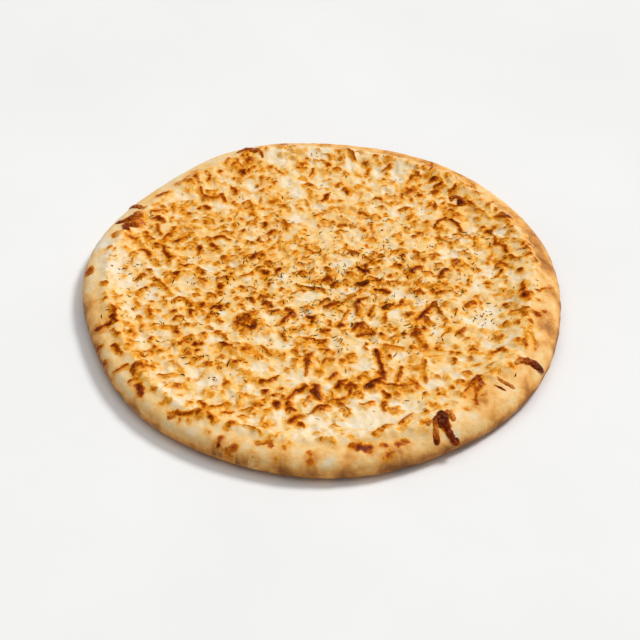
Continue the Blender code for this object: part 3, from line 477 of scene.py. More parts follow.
def stampLine(points, jobs, widths=None, levels=None, lean=None):
    # jobs: (layer, width, level, how it joins, how square its edge is, how far it reaches
    # towards the lean and away from it); widths and levels scale them from point to point
    points = np.asarray(points, dtype=float).reshape(-1, 2)
    widths = np.ones(len(points)) if widths is None else np.asarray(widths, dtype=float)
    levels = np.ones(len(points)) if levels is None else np.asarray(levels, dtype=float)
    # the part of the sheet that the widest job can reach
    pad = 2.4 * max(job[1] * max(job[5:] + (1,)) for job in jobs) * widths.max() + 2
    half, pitch = browning["half"], browning["pitch"]
    low = np.floor((points.min(0) - pad + half) / pitch).astype(int).clip(0, len(side) - 1)
    high = np.ceil((points.max(0) + pad + half) / pitch).astype(int).clip(1, len(side))
    if (high <= low).any():
        return
    window = (slice(low[0], high[0]), slice(low[1], high[1]))
    x, y = warpX[window], warpY[window]
    nearest = np.full(x.shape, 1e9)
    strength, ahead = np.zeros(x.shape), np.zeros(x.shape)
    for k in range(len(points) - 1):
        start, step = points[k], points[k + 1] - points[k]
        t = ((x - start[0]) * step[0] + (y - start[1]) * step[1]) / max(1e-6, step @ step)
        t = np.clip(t, 0, 1)
        wide = widths[k] + t * (widths[k + 1] - widths[k])
        dx, dy = (x - start[0] - t * step[0]) / wide, (y - start[1] - t * step[1]) / wide
        off = dx ** 2 + dy ** 2
        closer = off < nearest
        nearest = np.where(closer, off, nearest)
        strength = np.where(closer, levels[k] + t * (levels[k + 1] - levels[k]), strength)
        if lean is not None:
            ahead = np.where(closer, dx * math.cos(lean) + dy * math.sin(lean), ahead)
    for layer, width, level, how, square, *reach in jobs:
        gap = nearest
        if reach:
            gap = gap + ahead ** 2 * (1 / np.where(ahead > 0, reach[0], reach[1]) ** 2 - 1)
        shape = level * strength * np.exp(-(gap / width ** 2) ** (square / 2))
        if layer is toast and lean is not None:
            # the toast is faint on the side away from the lean
            shape = shape * (0.3 + 0.7 * smoothStep(0.5 + 0.7 * ahead / width))
        if how == "most":
            layer[window] = np.maximum(layer[window], shape)
        else:
            layer[window] += shape


def sampled(layer, x, y):
    half, pitch = browning["half"], browning["pitch"]
    u = np.clip((np.asarray(x) + half) / pitch, 0, len(side) - 1.001)
    v = np.clip((np.asarray(y) + half) / pitch, 0, len(side) - 1.001)
    i, j = np.floor(u).astype(int), np.floor(v).astype(int)
    fu, fv = u - i, v - j
    return (layer[i, j] * (1 - fu) * (1 - fv) + layer[i + 1, j] * fu * (1 - fv)
            + layer[i, j + 1] * (1 - fu) * fv + layer[i + 1, j + 1] * fu * fv)


rng = np.random.default_rng(browning["seed"])
edges = []
toast, gold, bare, fleck, relief, pale, hot = (np.zeros_like(gridX) for _ in range(7))


def bentLine(x, y, length, bend):
    turn = rng.uniform(0, 2 * np.pi)
    line = [(x - length / 2 * np.cos(turn + bend / 4), y - length / 2 * np.sin(turn + bend / 4))]
    for _ in range(3):
        line.append((line[-1][0] + length / 3 * np.cos(turn), line[-1][1] + length / 3 * np.sin(turn)))
        turn += bend / 2
    return line


def smoothRoute(points, count):
    # an even run of places along a curve through the points
    p = np.asarray(points, dtype=float)
    p = np.concatenate([[2 * p[0] - p[1]], p, [2 * p[-1] - p[-2]]])
    places = []
    for t in np.linspace(0, len(points) - 1, count):
        k = min(int(t), len(points) - 2)
        u = t - k
        before, start, end, after = p[k:k + 4]
        places.append(0.5 * (2 * start + (end - before) * u
                             + (2 * before - 5 * start + 4 * end - after) * u ** 2
                             + (3 * start - before - 3 * end + after) * u ** 3))
    return np.array(places)


def untwist(line):
    # about where the twisted sheet shows a line that was drawn on it
    return np.stack(twisted(line[:, 0], line[:, 1], -1), -1)


def edgeAlong(line, width, dark, lean):
    # the raised edge of a mark: bowed towards its darker side, and a little longer than it
    s = shredEdges
    middle, run = line.mean(0), line[-1] - line[0]
    inside = cheeseEdge(np.arctan2(middle[1], middle[0])) - np.hypot(*middle)
    if dark < s["leastDark"] or inside < 2 or rng.random() > s["share"]:
        return
    out = np.array([math.cos(lean), math.sin(lean)])
    if np.hypot(*run) < 1.6 * width:
        run = 1.6 * width * np.array([-out[1], out[0]]) * rng.choice([-1, 1])
        line = np.array([middle - run / 2, middle, middle + run / 2])
    t = np.linspace(-1, 1, 5)
    spine = smoothRoute(line, 5) + run * 0.12 * t[:, None]
    spine = spine + out * (width * rng.uniform(0.3, 0.75) * (1 - 1.2 * t ** 2))[:, None]
    thick = width * rng.uniform(*s["thick"])
    shades = (0.3 * dark, 0.3 + 0.75 * dark, 0.35 * dark)
    edges.append((spine, (0.5 * thick, thick, 0.6 * thick), shades))


def toastMark(line, width, dark):
    # a brown body that thins out to a tail, in soft amber; a fold is crisp and darkest on one
    # side, with bare white cheese beyond it, and its amber runs out on the other
    line = np.asarray(line, dtype=float).reshape(-1, 2)
    if rng.random() < 0.5:
        line = line[::-1]
    along = np.linspace(0, 1, len(line))
    thin = 1.15 - rng.uniform(0.1, 0.65) * along
    faint = 1.0 - rng.uniform(0.0, 0.7) * along
    lean = math.radians(105 + rng.normal(0, 45))
    out = np.array([math.cos(lean), math.sin(lean)])
    stampLine(line, [(relief, 1.15 * width, 0.55 + 0.5 * dark, "add", 2.5)], thin, faint)
    if rng.random() < browning["foldShare"]:
        ahead, behind = rng.uniform(0.7, 0.9), rng.uniform(1.1, 1.7)
        amber = (gold, 1.1 * width + 1.2, 0.5 + 0.5 * dark, "most", 2.2, ahead, behind)
        white = (bare, 0.9 * width + 0.8, 0.3 + 0.7 * dark, "most", 2.5)
        brown = (toast, 0.95 * width, 0.1 + 1.1 * dark, "most", 2.6, 0.9, 1.1)
        stampLine(line, [amber], thin, None, lean)
        stampLine(line + out * (width + 1.4), [white], thin)
        stampLine(line, [brown], thin, faint, lean)
        edgeAlong(line, width, dark, lean)
    else:
        shifted = line + out * rng.uniform(-0.9, 0.5) * width
        stampLine(shifted, [(gold, 1.15 * width + 1.5, 0.45 + 0.5 * dark, "most", 2)], thin)
        stampLine(line, [(toast, 0.9 * width, 0.1 + 1.15 * dark, "most", 2.3)], thin, faint)


def blister(x, y, radius, dark):
    # a thin arc of toast over the far side of a bubble, amber inside
    start = rng.uniform(-0.2, 0.9)
    ring = [(x + radius * np.cos(turn), y + radius * np.sin(turn))
            for turn in np.linspace(start, start + rng.uniform(1.6, 3.2), 6)]
    stampLine([(x, y), (x + 0.1, y)], [(gold, radius + 1.2, 0.5 + 0.4 * dark, "most", 3),
                                      (relief, radius, 0.8, "add", 3),
                                      (toast, 0.9 * radius, 0.4 * dark, "most", 2)])
    stampLine(ring, [(toast, rng.uniform(1.0, 1.5), 0.3 + 0.6 * dark, "most", 2.4),
                     (gold, 2.2, 0.8, "most", 2)])
    if cheeseEdge(np.arctan2(y, x)) - np.hypot(x, y) > 4:
        radii = (0.2, rng.uniform(0.3, 0.5), 0.2)
        edges.append((np.array(ring), radii, (0.3 * dark, 0.3 + 0.7 * dark, 0.3)))


for layer, zones in ((pale, pools), (hot, hotZones)):
    for x, y, radius in zones:
        x, y = slideOn(x, y)
        stampLine([(x, y), (x + 1, y)], [(layer, radius * 0.9, 1.0, "most", 2)])
# irregular edges for the pools and the browned patches
wild = softNoise(warpX, warpY, 5, 74) + 0.6 * softNoise(warpX, warpY, 2.4, 73)
patchy = softNoise(warpX, warpY, 10, 71) + 0.7 * softNoise(warpX, warpY, 4.6, 72) + 0.35 * wild
island = smoothStep((patchy + 0.5 * hot - 0.7 * pale) / 0.7 + 0.35)
pool = smoothStep((pale + 0.35 * wild - 0.25) / 0.4)
heat = smoothStep((hot - 0.4 * wild - 0.3) / 0.4)

taken = []
for *line, dark in strands:
    line = [slideOn(line[k], line[k + 1], reading["marks"]) for k in (0, 2, 4)]
    width = rng.uniform(*browning["strandWide"]) * (0.55 + 0.5 * dark)
    toastMark(line, width, browning["strandDark"] * dark)
    taken += line
for points, radii, shades in toastedStrands["seen"]:
    # what lies under a raised strand: amber all round it and toast along its foot
    line = [slideOn(*point) for point in points]
    widths = spread(radii, len(line))
    on = [smoothStep((cheeseEdge(np.array(math.atan2(y, x))) - math.hypot(x, y) + 4) / 8)
          for x, y in line]
    stampLine(line, [(gold, 1.25, 0.65, "most", 2.6), (toast, 1.15, 0.55, "most", 3)], widths,
              np.array(on) * (0.35 + 0.65 * spread(shades, len(line))))
    taken += line
for x, y, radius, dark in spots:
    x, y = slideOn(x, y, reading["marks"])
    if radius >= 2.5 and math.hypot(x, y) < 136 and rng.random() < 0.3:
        blister(x, y, radius * 0.9, dark)
    else:
        line = bentLine(x, y, radius * rng.uniform(0.3, 1.4), rng.uniform(-2, 2))
        toastMark(line, browning["spotWide"] * radius, browning["spotDark"] * dark)
    taken.append((x, y))
print("marks placed by hand", len(strands) + len(spots))


def scatter(count, spacing, others):
    kept = []
    cells = {}
    for x, y in others:
        cells.setdefault((int(x // spacing), int(y // spacing)), []).append((x, y))
    tries = 0
    while len(kept) < count and tries < count * 60:
        tries += 1
        x, y = rng.uniform(-150, 150, 2)
        if math.hypot(x, y) > cheeseEdge(np.array(math.atan2(y, x))) - 2.5:
            continue
        tight = spacing * (0.75 if y > 20 else 1.0)
        key = (int(x // spacing), int(y // spacing))
        near = [place for i in (-1, 0, 1) for j in (-1, 0, 1)
                for place in cells.get((key[0] + i, key[1] + j), [])]
        if any((x - nearX) ** 2 + (y - nearY) ** 2 < tight ** 2 for nearX, nearY in near):
            continue
        cells.setdefault(key, []).append((x, y))
        kept.append((x, y))
    return kept


for x, y in scatter(browning["marks"], browning["spacing"], taken):
    calm, warm, on = (float(sampled(layer, x, y)) for layer in (pale, hot, island))
    if rng.random() > 0.5 + 0.3 * on - 0.25 * calm:
        continue
    dark = min(1.0, 0.7 * rng.beta(0.9, 1.2) + 0.2 * warm - 0.12 * calm + 0.12 * on)
    dark = dark * (0.8 if y > 20 else 0.95)
    if rng.random() < browning["blisterShare"]:
        blister(x, y, rng.uniform(1.9, 3.2), dark)
        continue
    for size in [1.1, 0.8, 0.6, 0.7][:rng.choice([1, 1, 2, 2, 3, 4])]:
        wide = size * (0.6 + rng.gamma(2.0, 0.38)) * (0.8 if y > 20 else 1.0)
        line = bentLine(x, y, rng.gamma(1.3, 1.8), rng.uniform(-2.2, 2.2))
        toastMark(line, min(2.6, wide), dark)
        x, y = x + rng.normal(0, 2.4), y + rng.normal(0, 2.4)
        dark *= rng.uniform(0.4, 1.1)
for _ in range(shredEdges["loose"]):
    # lone edges of shreds, curling over the amber or round a pool
    x, y = rng.uniform(-140, 140, 2)
    if math.hypot(x, y) > cheeseEdge(np.array(math.atan2(y, x))) - 5 or sampled(pale, x, y) > 0.6:
        continue
    line = bentLine(x, y, rng.uniform(*shredEdges["looseMm"]), rng.normal(0, 0.8))
    thick, dark = rng.uniform(*shredEdges["looseThick"]), rng.uniform(0.3, 1.0)
    stampLine(line, [(gold, 1.3, 0.7, "most", 3), (relief, 0.9, 0.4, "add", 2)])
    radii = (0.3 * thick, thick, thick, 0.3 * thick)
    edges.append((np.array(line), radii, (0.1, dark, rng.uniform(0.2, 1) * dark, 0.1)))
for _ in range(browning["flecks"]):
    x, y = rng.uniform(-146, 146, 2)
    calm = float(sampled(pale, x, y))
    stampLine(bentLine(x, y, rng.gamma(1.5, 1.2), rng.uniform(-1.5, 1.5)),
              [(fleck, rng.uniform(0.5, 1.3), rng.uniform(0.3, 1.0) * (1 - 0.8 * calm), "most", 2)])
for _ in range(browning["shreds"]):
    x, y = rng.uniform(-148, 148, 2)
    line = bentLine(x, y, 14, rng.normal(0, 0.9))
    stampLine(line, [(relief, rng.uniform(1.3, 1.9), rng.uniform(0.15, 0.5), "add", 2)])

# Dried oregano, rubbed: thin curled flakes of leaf and stalk, dull and brittle, from tan to
# nearly black where the heat caught them.
herbs = {
    "count": 1600, "lengthMm": (0.6, 3.2), "widthMm": (0.38, 0.8),
    "middle": (0, 2), "spread": (62, 36),
    "ramp": [(0.0, "#1c0900"), (0.3, "#421f00"), (0.65, "#7c4700"), (1.0, "#b4780c")],
    "rough": 0.85, "ior": 1.45, "specular": 0.02, "grainMm": 0.8,
}
# Flakes that can be picked out in the photo: x, y, length, bearing in degrees. The first 45
# were pointed at in the photo's pixels and turned into millimetres by another program.
seenFlakes = [
    (62, -35, 3.5, -25), (36, -42, 2, 80), (41, -61, 2.5, 10), (44, -60, 5, 60), (50, -40, 3.5, 45),
    (52, -34, 5, 20), (10, -58, 3, 80), (11, -48, 5, 55), (8, -45, 4, 20), (61, -92, 2, 0),
    (-82, -58, 5.5, 60), (-83, -66, 5, -5), (-71, -64, 3.5, 80), (-76, -66, 2, 0), (-93, -50, 2, 0),
    (-64, -16, 4, 35), (-59, -16, 3.5, 40), (-66, -19, 3.5, 30), (-68, -25, 4, 60), (-64, -26, 3, -55),
    (-80, -70, 4, 25), (-82, -80, 4, -30), (-60, -52, 5, -30), (-56, -70, 6, 70), (85, 53, 2.5, 10),
    (84, 77, 3, 0), (84, 65, 4.5, -50), (93, 29, 3, -20), (95, 19, 4, 80), (107, 43, 4, 85),
    (115, 32, 2.5, 30), (124, 20, 2.5, 0), (135, 11, 2, 0), (123, 63, 2.5, 80), (-12, 51, 3, 60),
    (-2, 53, 4, 60), (13, 33, 3, 50), (23, 32, 2.5, 20), (32, 35, 3, 30), (51, 27, 5, -40),
    (-26, 11, 5, 85), (-3, 0, 8, -12), (-33, 5, 3, 10), (-20, -25, 4, 35), (12, -49, 5, 65),
    (-93.5, 3.5, 4, 75), (-98.5, -11.5, 4, -75), (-55.5, 6, 3, -70), (-62.5, -12.5, 6, 60),
    (-136, -26, 4, -80), (-132, -22, 3, 0), (-64, -25, 3, -40), (87, -19, 4, -65), (82, -24, 5, 70),
    (94, -27, 3, -50), (104, -28, 3, 60), (103, -13, 3, 0), (116, -73, 3, 70),
]


def scatterFlakes():
    h = herbs
    placed = []
    for x, y, length, bearing in seenFlakes:
        x, y = slideOn(x, y, reading["flakes"])
        placed.append((x, y, length, rng.uniform(0.55, 0.85), math.radians(bearing), 0.25))
    while len(placed) < h["count"]:
        x, y = rng.normal(h["middle"], h["spread"]) if len(placed) % 5 else rng.uniform(-140, 140, 2)
        if math.hypot(x, y) > cheeseEdge(np.array(math.atan2(y, x))) - 4:
            continue
        # some fall in small clumps
        for _ in range(rng.choice([1, 1, 1, 2, 3])):
            length = h["lengthMm"][0] + (h["lengthMm"][1] - h["lengthMm"][0]) * rng.random() ** 1.6
            width, turn = rng.uniform(*h["widthMm"]), rng.uniform(0, 2 * np.pi)
            placed.append((x, y, length, width, turn, rng.random() ** 0.7))
            x, y = x + rng.normal(0, 2.2), y + rng.normal(0, 2.2)
    return placed


flakes = scatterFlakes()
for x, y, length, _, turn, _ in flakes:
    # the cheese has browned a little round each flake
    reach = np.array([math.cos(turn), math.sin(turn)]) * 0.35 * length
    ends = [(x - reach[0], y - reach[1]), (x + reach[0], y + reach[1])]
    stampLine(ends, [(fleck, 0.8, 0.5, "most", 2)])

# how far the skin has coloured, from milk white at 0 to burnt at 1
broad = softNoise(gridX, gridY, 30, 61) + 0.8 * softNoise(gridX, gridY, 13, 62)
small = softNoise(warpX, warpY, 6, 63) + 0.6 * softNoise(warpX, warpY, 3, 65)
vein = np.clip(1 - np.abs(softNoise(warpX, warpY, 15, 64)) / 0.12, 0, 1)
# small flecks of curd that stayed white
milk = smoothStep((small + 0.5 * wild - 0.25) / 0.4)
bare = bare * (1 - 0.8 * np.clip(gold, 0, 1))
# amber that joins the marks up, in patches with irregular edges
drift = 0.9 * softNoise(warpX, warpY, 6, 75) + 0.5 * softNoise(warpX, warpY, 3, 76) + 0.15 * patchy
haze = smoothStep((drift + 0.15 * hot - 0.5 * pale - 0.3 * bare - browning["hazeLevel"]
                   - 0.1 * smoothStep(gridY / 40)) / 0.35)
within = cheeseEdge(np.arctan2(gridY, gridX)) - np.hypot(gridX, gridY)
gold = np.maximum(gold, browning["hazeAmber"] * haze * np.clip(within / 6, 0, 1))
tone = (browning["plainTone"] - 0.1 * bare + 0.02 * broad + 0.04 * small + 0.04 * vein + 0.05 * heat
        - 0.1 * pool - 0.09 * milk + 0.03 * island + 0.15 * fleck + 0.12 * gold)
# how golden with butterfat it is, from milky at 0 to saturated at 1
oil = (browning["plainOil"] + 0.4 * softNoise(warpX, warpY, 6.5, 66)
       + 0.3 * softNoise(warpX, warpY, 3, 67) + 0.45 * gold + 0.1 * heat - 0.3 * pool
       - 0.2 * milk - 0.25 * bare)
print("browning drawn")


def cheeseTop(x, y):
    inward = cheeseEdge(np.arctan2(y, x)) - np.hypot(x, y)
    fade = smoothStep(inward / cheese["taper"])
    hills = 0.5 * softNoise(x, y, 13, 41) + 0.5 * softNoise(x, y, 5.5, 42) + 0.16 * softNoise(x, y, 2.6, 43)
    stood = cheese["relief"] * (1 - np.exp(-sampled(relief, x, y) / 0.9))
    deep = cheese["thick"] - 0.35 + hills + stood - 0.5 * sampled(pale, x, y)
    return doughSkin(x, y) + 0.08 + fade * deep


def discGrid(cells, reachOf):
    # a square grid bent into a disc, so that its cells stay near one size
    steps = np.linspace(-1, 1, cells + 1)
    u, v = np.meshgrid(steps, steps, indexing="ij")
    wide = np.abs(u) > np.abs(v)
    safeU, safeV = np.where(u == 0, 1, u), np.where(v == 0, 1, v)
    angle = np.where(wide, np.pi / 4 * v / safeU + np.where(u < 0, np.pi, 0),
                     np.pi / 2 - np.pi / 4 * u / safeV + np.where(v < 0, np.pi, 0))
    r = np.maximum(np.abs(u), np.abs(v)) * reachOf(angle)
    return r * np.cos(angle), r * np.sin(angle)


# Baked wheat dough, pale and floury where it puffed, light brown where it touched the heat:
# a dull, finely pored crust with soft stains and no hard edge.
wheatCrust = {
    "ramp": [(0.0, "#ecdfca"), (0.22, "#f0d5a8"), (0.42, "#f5c882"), (0.6, "#ecac5a"), (0.78, "#c8853c"),
             (1.0, "#955a1e")],
    "ior": 1.45, "rough": 0.55, "specular": 0.2,
    "stainMm": 11.0, "freckleMm": 3.0, "poreMm": 1.2,
    # the brown that creeps up from its foot, part baked colour and part painted shade where the rim meets the
    # ground:
    # how much, and how high in metres; and the level that plain dough starts from, before its stains
    "footBrownAndShade": 0.42, "footHigh": 0.0135, "ground": -0.46,
}


def crustColour(tree, place, baked):
    # stains from broad to fine, and darker towards the foot: part baked brown, part painted shade
    m = wheatCrust
    stain = addNode(tree, "ShaderNodeTexNoise", None,
                    {"Scale": 500 / m["stainMm"], "Detail": 4.0, "Roughness": 0.6, "Distortion": 0.5},
                    {"Vector": place})
    freckle = addNode(tree, "ShaderNodeTexNoise", None,
                      {"Scale": 500 / m["freckleMm"], "Detail": 3.0, "Roughness": 0.6}, {"Vector": place})
    height = addNode(tree, "ShaderNodeSeparateXYZ", None, None, {"Vector": place}).outputs["Z"]
    # painted shade mixed with baked brown: the crust darkens from this height down towards the ground
    low = addNode(tree, "ShaderNodeMapRange", {"interpolation_type": "SMOOTHSTEP"},
                  {"From Min": m["footHigh"], "From Max": 0.006,
                   "To Min": m["ground"], "To Max": m["footBrownAndShade"] + m["ground"]},
                  {"Value": height})
    stained = addNode(tree, "ShaderNodeMath", {"operation": "MULTIPLY_ADD"}, {1: 1.0},
                      {0: stain.outputs["Fac"], 2: low.outputs[0]})
    freckled = addNode(tree, "ShaderNodeMath", {"operation": "MULTIPLY_ADD"}, {1: 0.6},
                       {0: freckle.outputs["Fac"], 2: stained.outputs[0]})
    level = addNode(tree, "ShaderNodeMath", {"operation": "ADD", "use_clamp": True}, None,
                    {0: freckled.outputs[0], 1: baked})
    ramp = addNode(tree, "ShaderNodeValToRGB", None, None, {"Fac": level.outputs[0]}, m["ramp"])
    return ramp.outputs["Color"]


# places on the bare rim that browned: x, y, radius, how much
rimStains = [
    (137, -31, 6, 0.3), (143, -37, 5, 0.2), (140, -45, 5, 0.2), (122, -72, 7, 0.3), (123, -88, 5, 0.3),
    (148, -10, 6, 0.25), (103, -103, 7, 0.2), (147, 20, 5, 0.15), (140, 32, 9, 0.22), (-140, -60, 7, 0.3),
    (-95, -118, 8, 0.15), (-60, -135, 7, 0.2), (-20, -146, 6, 0.25), (45, -143, 7, 0.3),
    (85, -122, 7, 0.15), (15, -143, 5, 0.25), (-110, -100, 6, 0.2), (-146, -20, 6, 0.25),
    (-145, 30, 6, 0.15),
]


# the right and the back of the rim are tanned more than the front left: how much, bearing, width
rimTan = [(0.1, 5, 50), (-0.06, -122, 30), (0.12, 195, 22), (-0.22, 166, 15), (0.27, 74, 22), (0.22, 22, 20)]


def bakeLevel(x, y):
    angle = np.arctan2(y, x)
    level = 0
    for amount, bearing, width in rimTan:
        level = level + amount * swell(angle, bearing, width)
    for stainX, stainY, size, amount in rimStains:
        stainX, stainY = slideOn(stainX, stainY)
        level = level + amount * np.exp(-((x - stainX) ** 2 + (y - stainY) ** 2) / size ** 2)
    return level


# Melted mozzarella, browned under a hot grill: soft white fat-and-milk pools that let a
# little light in, dry golden skin on the high spots and dark, oily, blistered toast on the
# strands that stood up.
mozzarella = {
    "milky": [(0.0, "#f2e8d9"), (0.14, "#f5dfba"), (0.28, "#f3cb90"), (0.42, "#e8aa58"), (0.55, "#cd8024"),
              (0.68, "#ac5a08"), (0.82, "#7f3201"), (1.0, "#421003")],
    "golden": [(0.0, "#f5ebcd"), (0.14, "#fadfa4"), (0.28, "#f8c672"), (0.42, "#f0a534"), (0.55, "#dc8408"),
               (0.68, "#bc5c00"), (0.82, "#8f3300"), (1.0, "#4e1200")],
    "ior": 1.45, "specular": 0.2, "sheenTint": "#ffb46a", "roughPool": 0.36, "roughToast": 0.16,
    # how the drawn toast is sharpened: level drawn, level shown
    "crisp": [(0.12, 0.0), (0.24, 0.26), (0.42, 0.5), (0.62, 0.68), (0.78, 0.88), (1.0, 1.0)],
    "speckleMm": 1.1, "marbleMm": 4.0, "curdMm": 2.2, "curlMm": 3.2, "curlAmber": 0.3, "curlPlain": 0.05,
    "amberStep": 0.16,
}


def meltedSkin(tree, place):
    # the colour of the cheese, with the browning drawn on it broken up by grains of noise
    m = mozzarella
    read = {label: addNode(tree, "ShaderNodeAttribute", {"attribute_name": label}).outputs["Fac"]
            for label in ("toast", "tone", "amber", "oil", "inside", "bake")}
    speckle = addNode(tree, "ShaderNodeTexNoise", None,
                      {"Scale": 500 / m["speckleMm"], "Detail": 3.0, "Roughness": 0.6}, {"Vector": place})
    marble = addNode(tree, "ShaderNodeTexNoise", None,
                     {"Scale": 500 / m["marbleMm"], "Detail": 4.0, "Roughness": 0.6, "Distortion": 0.6},
                     {"Vector": place})
    curd = addNode(tree, "ShaderNodeTexNoise", None,
                   {"Scale": 500 / m["curdMm"], "Detail": 3.0, "Roughness": 0.55, "Distortion": 0.4},
                   {"Vector": place})
    marbled = addNode(tree, "ShaderNodeMath", {"operation": "MULTIPLY_ADD"}, {1: 0.26, 2: -0.13},
                      {0: marble.outputs["Fac"]})
    speckled = addNode(tree, "ShaderNodeMath", {"operation": "MULTIPLY_ADD"}, {1: 0.32, 2: -0.16},
                       {0: speckle.outputs["Fac"]})
    broken = addNode(tree, "ShaderNodeMath", {"operation": "ADD"}, None,
                     {0: marbled.outputs[0], 1: speckled.outputs[0]})
    # the white pools are smoother
    calm = addNode(tree, "ShaderNodeMapRange", None, {"From Min": 0.05, "From Max": 0.28, "To Min": 0.4},
                   {"Value": read["tone"]})
    grain = addNode(tree, "ShaderNodeMath", {"operation": "MULTIPLY"}, None,
                    {0: broken.outputs[0], 1: calm.outputs[0]})
    # thin dark edges of shreds, curling through the amber
    curl = addNode(tree, "ShaderNodeTexNoise", None,
                   {"Scale": 500 / m["curlMm"], "Detail": 2.0, "Roughness": 0.5, "Distortion": 1.2},
                   {"Vector": place})
    offMiddle = addNode(tree, "ShaderNodeMath", {"operation": "SUBTRACT"}, {1: 0.5}, {0: curl.outputs["Fac"]})
    away = addNode(tree, "ShaderNodeMath", {"operation": "ABSOLUTE"}, None, {0: offMiddle.outputs[0]})
    thinEdge = addNode(tree, "ShaderNodeMapRange", None, {"From Min": 0.022, "From Max": 0.0},
                       {"Value": away.outputs[0]})
    where = addNode(tree, "ShaderNodeMath", {"operation": "MULTIPLY_ADD"},
                    {1: m["curlAmber"], 2: m["curlPlain"]}, {0: read["amber"]})
    edged = addNode(tree, "ShaderNodeMath", {"operation": "MULTIPLY_ADD"}, None,
                    {0: thinEdge.outputs[0], 1: where.outputs[0], 2: grain.outputs[0]})
    grained = addNode(tree, "ShaderNodeMath", {"operation": "ADD"}, None,
                      {0: read["amber"], 1: broken.outputs[0]})
    amber = addNode(tree, "ShaderNodeMapRange", {"interpolation_type": "SMOOTHSTEP"},
                    {"From Min": 0.22, "From Max": 0.62, "To Max": m["amberStep"]},
                    {"Value": grained.outputs[0]})
    toned = addNode(tree, "ShaderNodeMath", {"operation": "ADD"}, None,
                    {0: read["tone"], 1: amber.outputs[0]})
    plain = addNode(tree, "ShaderNodeMath", {"operation": "ADD"}, None,
                    {0: toned.outputs[0], 1: edged.outputs[0]})
    drawn = addNode(tree, "ShaderNodeMath", {"operation": "ADD", "use_clamp": True}, None,
                    {0: read["toast"], 1: broken.outputs[0]})
    crisp = addNode(tree, "ShaderNodeFloatCurve", None, None, {"Value": drawn.outputs[0]})
    for at, height in m["crisp"]:
        crisp.mapping.curves[0].points.new(at, height)
    crisp.mapping.update()
    level = addNode(tree, "ShaderNodeMath", {"operation": "MULTIPLY_ADD", "use_clamp": True}, {1: 0.42},
                    {0: crisp.outputs[0], 2: plain.outputs[0]})
    milky = addNode(tree, "ShaderNodeValToRGB", None, None, {"Fac": level.outputs[0]}, m["milky"])
    golden = addNode(tree, "ShaderNodeValToRGB", None, None, {"Fac": level.outputs[0]}, m["golden"])
    # butterfat shows in patches with fairly sharp edges
    curdled = addNode(tree, "ShaderNodeMath", {"operation": "MULTIPLY_ADD"}, {1: 0.45, 2: -0.22},
                      {0: curd.outputs["Fac"]})
    oily = addNode(tree, "ShaderNodeMath", {"operation": "ADD"}, None,
                   {0: read["oil"], 1: curdled.outputs[0]})
    fat = addNode(tree, "ShaderNodeMapRange", {"interpolation_type": "SMOOTHSTEP"},
                  {"From Min": 0.1, "From Max": 0.9}, {"Value": oily.outputs[0]})
    skin = addNode(tree, "ShaderNodeMix", {"data_type": "RGBA"}, None,
                   {0: fat.outputs[0], 6: milky.outputs["Color"], 7: golden.outputs["Color"]})
    # towards its edge the cheese thins and the dough shows through, but never through the toast
    thinning = addNode(tree, "ShaderNodeMath", {"operation": "MULTIPLY_ADD"}, {1: 1.6, 2: -1.1},
                       {0: marble.outputs["Fac"]})
    within = addNode(tree, "ShaderNodeMath", {"operation": "MULTIPLY_ADD"}, {1: 1.6},
                     {0: read["inside"], 2: thinning.outputs[0]})
    stained = addNode(tree, "ShaderNodeMath", {"operation": "MULTIPLY_ADD"}, {1: 10.0},
                      {0: amber.outputs[0], 2: within.outputs[0]})
    covered = addNode(tree, "ShaderNodeMath", {"operation": "MULTIPLY_ADD", "use_clamp": True}, {1: 3.3},
                      {0: crisp.outputs[0], 2: stained.outputs[0]})
    crust = crustColour(tree, place, read["bake"])
    colour = addNode(tree, "ShaderNodeMix", {"data_type": "RGBA"}, None,
                     {0: covered.outputs[0], 6: crust, 7: skin.outputs[2]})
    return colour.outputs[2], speckle.outputs["Fac"], marble.outputs["Fac"], read["toast"]


def makeCrust():
    m = wheatCrust
    material, tree = newMaterial("bakedWheatCrust")
    place = addNode(tree, "ShaderNodeTexCoord").outputs["Object"]
    colour = meltedSkin(tree, place)[0]
    pore = addNode(tree, "ShaderNodeTexNoise", None,
                   {"Scale": 500 / m["poreMm"], "Detail": 3.0, "Roughness": 0.6}, {"Vector": place})
    wrinkle = addNode(tree, "ShaderNodeTexNoise", None,
                      {"Scale": 500 / m["freckleMm"], "Detail": 3.0, "Roughness": 0.6}, {"Vector": place})
    bumpFine = addNode(tree, "ShaderNodeBump", None, {"Strength": 0.5, "Distance": 0.0004},
                       {"Height": pore.outputs["Fac"]})
    bump = addNode(tree, "ShaderNodeBump", None, {"Strength": 0.5, "Distance": 0.0014},
                   {"Height": wrinkle.outputs["Fac"], "Normal": bumpFine.outputs["Normal"]})
    shader = addNode(tree, "ShaderNodeBsdfPrincipled", None,
                     {"IOR": m["ior"], "Roughness": m["rough"], "Specular IOR Level": m["specular"],
                      "Subsurface Weight": 0.08, "Subsurface Scale": 0.003},
                     {"Base Color": colour, "Normal": bump.outputs["Normal"]})
    addNode(tree, "ShaderNodeOutputMaterial", None, None, {"Surface": shader.outputs[0]})
    return material


def browningAt(x, y, inside, bake):
    return {"toast": sampled(toast, x, y), "tone": sampled(tone, x, y), "amber": sampled(gold, x, y),
            "oil": sampled(oil, x, y), "inside": inside, "bake": bake}


